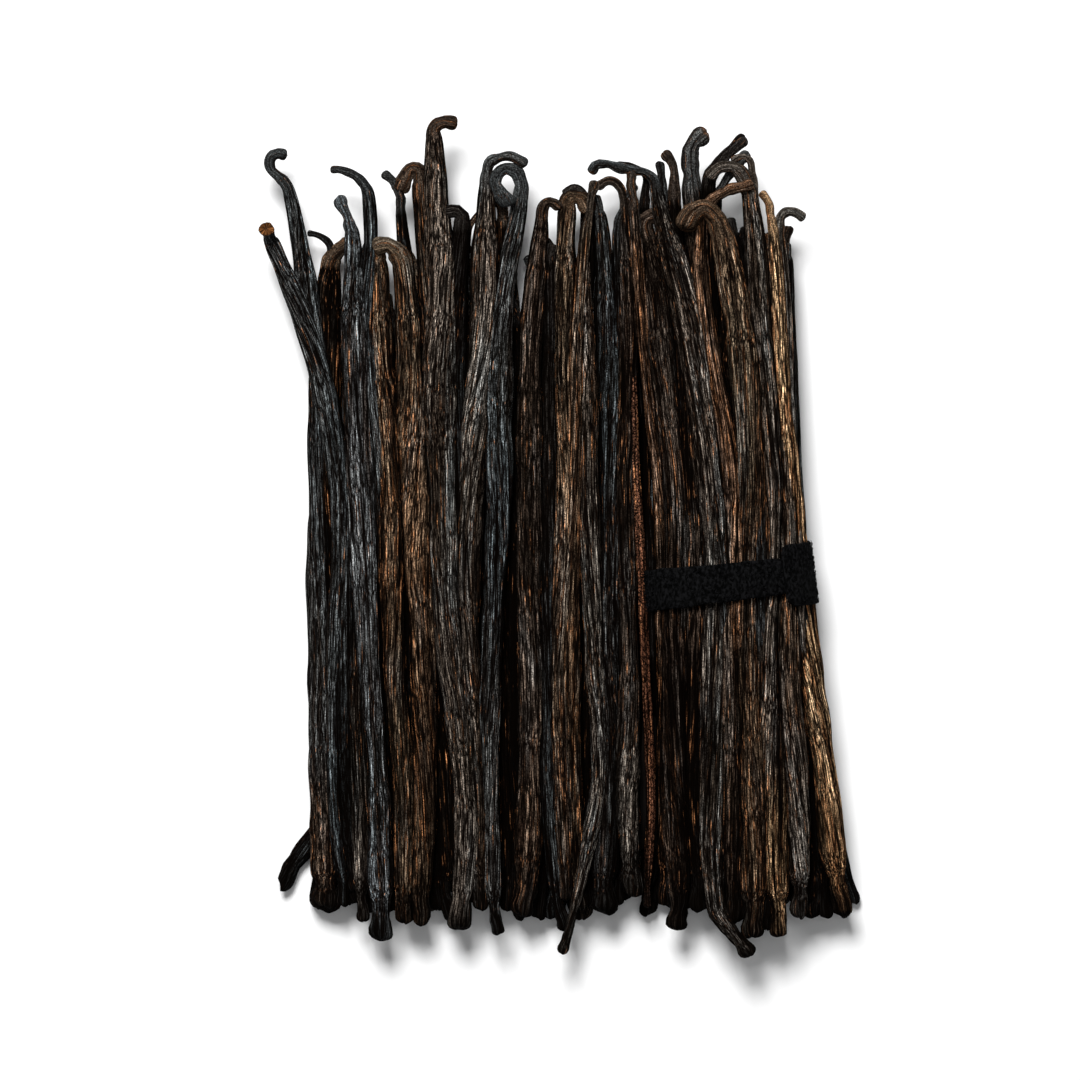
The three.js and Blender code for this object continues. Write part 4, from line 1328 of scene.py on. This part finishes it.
@dataclass
class Core:
    """What fills the bundle under its pods, so that no light comes through."""

    bundle: Bundle
    inset: float = 6.2  # mm under the pods' tops
    ground: float = 2.6  # mm over the surface
    cuts: int = 14
    foot: float = 850  # steps down, as in the next three
    heap_top: float = 360
    hank_top: float = 330
    slope: tuple = (352, 60)  # where the heap's filling starts to rise, and over how far
    left: tuple = ((360, 440, 470, 850), (352, 352, 336, 336))
    right: float = 668
    flat: tuple = (330, 628)  # steps across between which the filling follows the bundle's skin

    def build(self, finish: Material) -> None:
        """Shapes one block under the loose heap and one inside the hank, and joins them."""
        finish_piece(joined([self.heap(), self.hank()], "bundle_core"), finish, "pods")

    def block(self) -> tuple[Item, Array]:
        """Adds a subdivided cube from 0 to 1.

        Returns:
            The cube and its vertices.
        """
        bpy.ops.mesh.primitive_cube_add(size=1, location=(0.5, 0.5, 0.5))
        block = bpy.context.object
        bpy.ops.object.transform_apply(location=True, rotation=True, scale=True)
        bpy.ops.object.mode_set(mode="EDIT")
        bpy.ops.mesh.select_all(action="SELECT")
        bpy.ops.mesh.subdivide(number_cuts=self.cuts)
        bpy.ops.object.mode_set(mode="OBJECT")
        bpy.ops.object.shade_smooth()
        return block, corners(block.data)

    def heap(self) -> Item:
        """Shapes a block to fill the loose heap.

        Returns:
            The filling.
        """
        block, co = self.block()
        down = self.foot - co[:, 1] * (self.foot - self.heap_top)
        left = np.interp(down, *self.left)
        across = left + co[:, 0] * (self.right - left)
        start, length = self.slope
        top = self.bundle.skin(np.clip(across, *self.flat), down) - self.inset
        top = (top - self.ground) * smooth((down - start) / length)
        height = self.ground + co[:, 2] * top
        move_corners(block.data, np.column_stack([*on_sheet(across, down), height * MM]))
        return block

    def hank(self) -> Item:
        """Shapes a block to fill the hank.

        Returns:
            The filling.
        """
        block, co = self.block()
        down = self.foot - co[:, 1] * (self.foot - self.hank_top)
        middle, reach, rise, height = self.bundle.hank_at(down)
        flat = (co[:, ::2] - 0.5) * 2
        longest = np.maximum(np.abs(flat).max(axis=1), 1e-6)
        angle = np.degrees(np.arctan2(flat[:, 1], flat[:, 0]))
        x, z = self.bundle.oval(reach - self.inset / STEP_MM, rise - self.inset, angle)
        places = on_sheet(middle + x * longest, down)
        move_corners(block.data, np.column_stack([*places, (height + z * longest) * MM]))
        return block


@dataclass
class Strap:
    """A loop-fabric strap round the hank, its wide head lapped over the right side.

    Sizes are in mm, seen with the strap laid flat.
    """

    bundle: Bundle
    width: float = 9.6
    flare: float = 0.08  # how much wider it is on the left
    thickness: float = 1.2
    gap: float = 0.3
    tilt: float = 6.5  # degrees
    head_width: float = 15.6
    head_thickness: float = 1.4
    head_span: tuple = (-50.0, 50.0)  # degrees round the hank
    head_end: float = 0.72  # its width at the ends, before the round corners
    corner: float = 3.0
    degree: float = 0.28  # length of a degree round the hank
    edge_power: float = 0.45  # how square the edges of the section are
    band_loops: int = 1150
    head_loops: int = 420
    loop_radius: tuple = (0.24, 0.42)
    loop_sunk: float = 0.05
    loop_edge: float = 0.15
    lowest_loop: float = 1.2  # over the surface
    tufts: tuple = ((1, 170, 0.62), (0.6, 320, 0.3))  # strength, cells round the hank and spacing
    tuft_depth: tuple = (0.16, 0.03)  # on the outer and on the inner face
    waves: tuple = ((0.14, 26, 4.0),)
    edge_waves: tuple = ((0.035, 44, 6.0), (0.021, 110, 6.0))

    def around(self, degrees: Array, out: Array, wide: Array) -> Array:
        """Places on the strap in metres.

        Args:
            degrees: angle round the hank.
            out: mm out from the hank's oval.
            wide: mm along the pods from the strap's middle.

        Returns:
            One row of X, Y and Z for each place.
        """
        middle, reach, rise, height = self.bundle.hank_at(self.bundle.strap_line)
        x, z = self.bundle.oval(reach * STEP_MM + out, rise + out, degrees)
        centre = on_sheet(middle, self.bundle.strap_line)
        c, s = math.cos(math.radians(self.tilt)), math.sin(math.radians(self.tilt))
        return np.column_stack([centre[0] + (x * c - wide * s) * MM, centre[1] + (x * s + wide * c) * MM,
                                (height + z) * MM])

    def section(self, turn: Array, half_wide: Array, half_thick: float) -> tuple:
        """A flat section with round edges, at angles in radians."""
        c, s = np.cos(turn), np.sin(turn)
        return (np.sign(c) * np.abs(c) ** self.edge_power * half_wide,
                np.sign(s) * np.abs(s) ** self.edge_power * half_thick)

    def band_half(self, degrees: Array) -> Array:
        """Half the band's width in mm at angles round the hank."""
        return self.width / 2 * (1 - self.flare * np.cos(np.radians(degrees)))

    def head_half(self, degrees: Array) -> Array:
        """Half the head's width in mm at angles round the hank, less at its rounded ends."""
        inside = np.minimum(degrees - self.head_span[0], self.head_span[1] - degrees) * self.degree
        t = np.clip(inside / self.corner, 0, 1)
        return self.head_width / 2 * (self.head_end + (1 - self.head_end) * np.sqrt(1 - (1 - t) ** 2))

    def band(self) -> Item:
        """Shapes the closed band from a ring.

        Returns:
            The band.
        """
        bpy.ops.mesh.primitive_torus_add(major_segments=256, minor_segments=40, major_radius=2.0,
                                         minor_radius=1.0)
        band = bpy.context.object
        co = corners(band.data)
        degrees = np.degrees(np.arctan2(co[:, 1], co[:, 0]))
        turn = np.arctan2(np.hypot(co[:, 0], co[:, 1]) - 2.0, co[:, 2])
        wide, thick = self.section(turn, self.band_half(degrees), self.thickness / 2)
        self.roughen(band, degrees, self.gap + self.thickness / 2 + thick, wide, thick > 0, 3)
        return band

    def head(self) -> Item:
        """Shapes the wide head from a closed tube that is bent over the band.

        Returns:
            The head.
        """
        blank = PodBlank("head_blank", sides=56, cuts=(9, 7))
        blank.build()
        turn = 2 * np.pi * blank.slot / blank.sides
        share = blank.ring / (blank.rings - 1)
        ends = np.minimum(share, 1 - share) * 30
        size = np.where(blank.pole, 0.0, np.clip(1 - (1 - np.clip(ends, 0, 1)) ** 3, 0.3, 1) ** 0.5)
        degrees = self.head_span[0] + share * (self.head_span[1] - self.head_span[0])
        wide, thick = self.section(turn, self.head_half(degrees), self.head_thickness / 2)
        head = in_scene("head", blank.mesh)
        self.roughen(head, degrees, self.gap + self.thickness + self.head_thickness / 2 + thick * size,
                     wide * np.where(blank.pole, 0, 1), thick > 0, 4)
        return head

    def roughen(self, piece: Item, degrees: Array, out: Array, wide: Array, outer: Array,
                seed: int) -> None:
        """Places a strap's vertices with the tufted, uneven surface of loop fabric.

        Args:
            piece: the object.
            degrees: angle round the hank of each vertex.
            out: mm out from the hank.
            wide: mm along the pods.
            outer: whether it is on the outer face, which is tufted.
            seed: of the draws.
        """
        grain = Grain(SEED * 10 + seed)
        turn = degrees / 360.0
        tufts = grain.layers(turn, wide, self.tufts)
        edge = grain.layers(turn, wide, self.edge_waves)
        out = out + np.where(outer, *self.tuft_depth) * tufts + grain.layers(turn, wide, self.waves)
        for polygon in piece.data.polygons:
            polygon.use_smooth = True
        move_corners(piece.data, self.around(degrees, out, wide * (1 + edge)))

    @staticmethod
    def loop_blank() -> tuple[Array, list[tuple[int, ...]]]:
        """One small loop of yarn, half a ring standing on its ends.

        Returns:
            Its vertices and faces, a radius of 1 across X and up Y.
        """
        bpy.ops.mesh.primitive_torus_add(major_segments=8, minor_segments=3, major_radius=1.0,
                                         minor_radius=0.3)
        ring = bpy.context.object
        bpy.ops.object.mode_set(mode="EDIT")
        bpy.ops.mesh.select_all(action="SELECT")
        bpy.ops.mesh.bisect(plane_co=(0, -0.01, 0), plane_no=(0, 1, 0), use_fill=True, clear_inner=True)
        bpy.ops.object.mode_set(mode="OBJECT")
        places = corners(ring.data)
        faces = [tuple(p.vertices) for p in ring.data.polygons]
        bpy.data.objects.remove(ring)
        return places, faces

    def loops(self, count: int, span: tuple, half: Callable, base: float, seed: int) -> Item:
        """Many small loops of yarn over an outer face, as one mesh.

        Args:
            count: how many.
            span: lowest and highest angle round the hank.
            half: gives half the face's width in mm at angles.
            base: mm from the hank to the face.
            seed: of the draws.

        Returns:
            The loops.
        """
        yarn, faces = self.loop_blank()
        random = np.random.default_rng(SEED * 10 + seed)
        degrees = random.uniform(*span, count * 2)
        wide = random.uniform(-1, 1, count * 2) * (half(degrees) - self.loop_edge)
        heights = self.around(degrees, np.full(len(wide), base), wide)[:, 2]
        kept = np.flatnonzero(heights > self.lowest_loop * MM)[:count]
        degrees, wide = degrees[kept, None], wide[kept, None]
        radius = random.uniform(*self.loop_radius, (len(kept), 1))
        turn = random.normal(0, 0.6, (len(kept), 1))
        lean = random.normal(0, 0.5, (len(kept), 1))
        x, y, z = (yarn[None, :, k] * radius for k in range(3))
        sideways = x * np.sin(turn) + z * np.cos(turn) + y * np.sin(lean)
        onwards = x * np.cos(turn) - z * np.sin(turn)
        places = self.around((degrees + sideways / self.degree).ravel(),
                             (base + y * np.cos(lean)).ravel(), (wide + onwards).ravel())
        mesh = bpy.data.meshes.new("loops")
        mesh.from_pydata(places.tolist(), [], [tuple(v + i * len(yarn) for v in face)
                                               for i in range(len(kept)) for face in faces])
        return in_scene("loops", mesh)

    def build(self, fabric: Material) -> None:
        """Builds the strap's band and head, each with its loops of yarn.

        Args:
            fabric: their finish.
        """
        band_face = self.gap + self.thickness - self.loop_sunk
        head_face = band_face + self.head_thickness
        band_loops = self.loops(self.band_loops, (-180, 180), self.band_half, band_face, 5)
        head_loops = self.loops(self.head_loops, self.head_span, self.head_half, head_face, 6)
        finish_piece(joined([self.band(), band_loops], "strap_band"), fabric, "strap")
        finish_piece(joined([self.head(), head_loops], "strap_head"), fabric, "strap")


@dataclass
class Studio:
    """A plain pale floor, soft lights and a camera straight above."""

    middle: tuple = on_sheet(540, 540)
    frame_width: float = 1080 * STEP
    lens: float = 200.0
    sensor: float = 36.0
    focus_height: float = 0.012
    world_colour: tuple = (0.98, 0.99, 1.0, 1)
    world_strength: float = 0.14

    def camera(self) -> None:
        """Adds the camera, level over the middle of the frame."""
        distance = self.frame_width * self.lens / self.sensor
        bpy.ops.object.camera_add(location=(*self.middle, distance + self.focus_height), rotation=(0, 0, 0))
        camera = bpy.context.object
        camera.data.lens, camera.data.sensor_width = self.lens, self.sensor
        camera.data.clip_end = 20
        bpy.context.scene.camera = camera

    def floor(self) -> None:
        """Adds the floor."""
        bpy.ops.mesh.primitive_plane_add(size=8, location=(0, 0, 0))
        floor = bpy.context.object
        floor.name = "floor"
        floor.data.materials.append(NodeBoard("pale_floor").dress((0.9, 0.9, 0.9, 1), 0.9, 0.1))

    @staticmethod
    def lamp(name: str, place: tuple, size: float, power: float) -> None:
        """Adds a square soft light that faces the bundle.

        Args:
            name: its name.
            place: where it is, in metres.
            size: its side in metres.
            power: watts.
        """
        bpy.ops.object.light_add(type="AREA", location=place)
        lamp = bpy.context.object
        lamp.name = name
        lamp.data.size, lamp.data.energy = size, power
        direction = -lamp.location.normalized()
        lamp.rotation_euler = direction.to_track_quat("-Z", "Y").to_euler()

    def build(self) -> None:
        """Sets up the whole studio."""
        self.camera()
        self.floor()
        self.lamp("key_light", (-0.32, 1.1, 1.55), 0.75, 54)
        self.lamp("overhead_light", (0.1, -0.1, 2.4), 1.2, 7)
        world = bpy.data.worlds.new("studio")
        bpy.context.scene.world = world
        world.use_nodes = True
        colour, strength = world.node_tree.nodes["Background"].inputs[:2]
        colour.default_value, strength.default_value = self.world_colour, self.world_strength
        bpy.context.scene.view_settings.view_transform = "Standard"


@dataclass
class Bench:
    """Builds the bundle in order."""

    bundle: Bundle = field(default_factory=Bundle)
    covered: tuple = (-3.0, -1.0)  # mm that the low and high parts of a pod with less detail are under
    loose: int = 31  # rows of the loose heap, before those of the hank
    group: int = 11  # pods of a piece

    def build(self) -> None:
        """Builds every piece of the bundle."""
        skin = PodSkin().material()
        full = PodBlank("full_blank", sides=72, cuts=(10, 10))
        half = PodBlank("half_blank", sides=40, cuts=(8, 8))
        plain = PodBlank("plain_blank", sides=24, cuts=(7, 7))
        for blank in (full, half, plain):
            blank.build()
        groups: dict[str, list] = {}
        for number, row in enumerate(LAID_PODS):
            side = "hank" if number >= self.loose else "loose"
            blank = half if row.lifts[0] <= self.covered[0] and row.lifts[1] <= self.covered[1] else full
            name = f"{side}_pods_{number % self.loose // self.group + 1}"
            groups.setdefault(name, []).append((row, blank, number))
        hidden = HiddenLayers(self.bundle)
        lower = hidden.layer(322, 668, feet=(872, 914), necks=(262, 300), bed=2.9)
        covered = hidden.layer(326, 652, feet=(872, 904), necks=(312, 345), bed=None)
        covered += hidden.rim(hidden.covered_angles, hidden.cover, hidden.shaded_tones)
        rim = hidden.rim(hidden.rim_angles, 0.0, hidden.tones)
        for name, rows, first in (("lower_pods", lower, 100), ("covered_pods", covered, 140),
                                  ("hank_rim_pods", rim, 180)):
            groups[name] = [(row, plain, first + i) for i, row in enumerate(rows)]
        for name, members in groups.items():
            PodGroup(name, self.bundle, members).build(skin)
        Core(self.bundle).build(CORE_FINISH.material())
        Strap(self.bundle).build(LOOP_FABRIC.material())


def main() -> None:
    """Builds the bundle and its studio, and notes the sizes."""
    logging.basicConfig(level=logging.INFO, format="%(message)s")
    Studio().build()
    Bench().build()


if __name__ == "__main__":
    main()
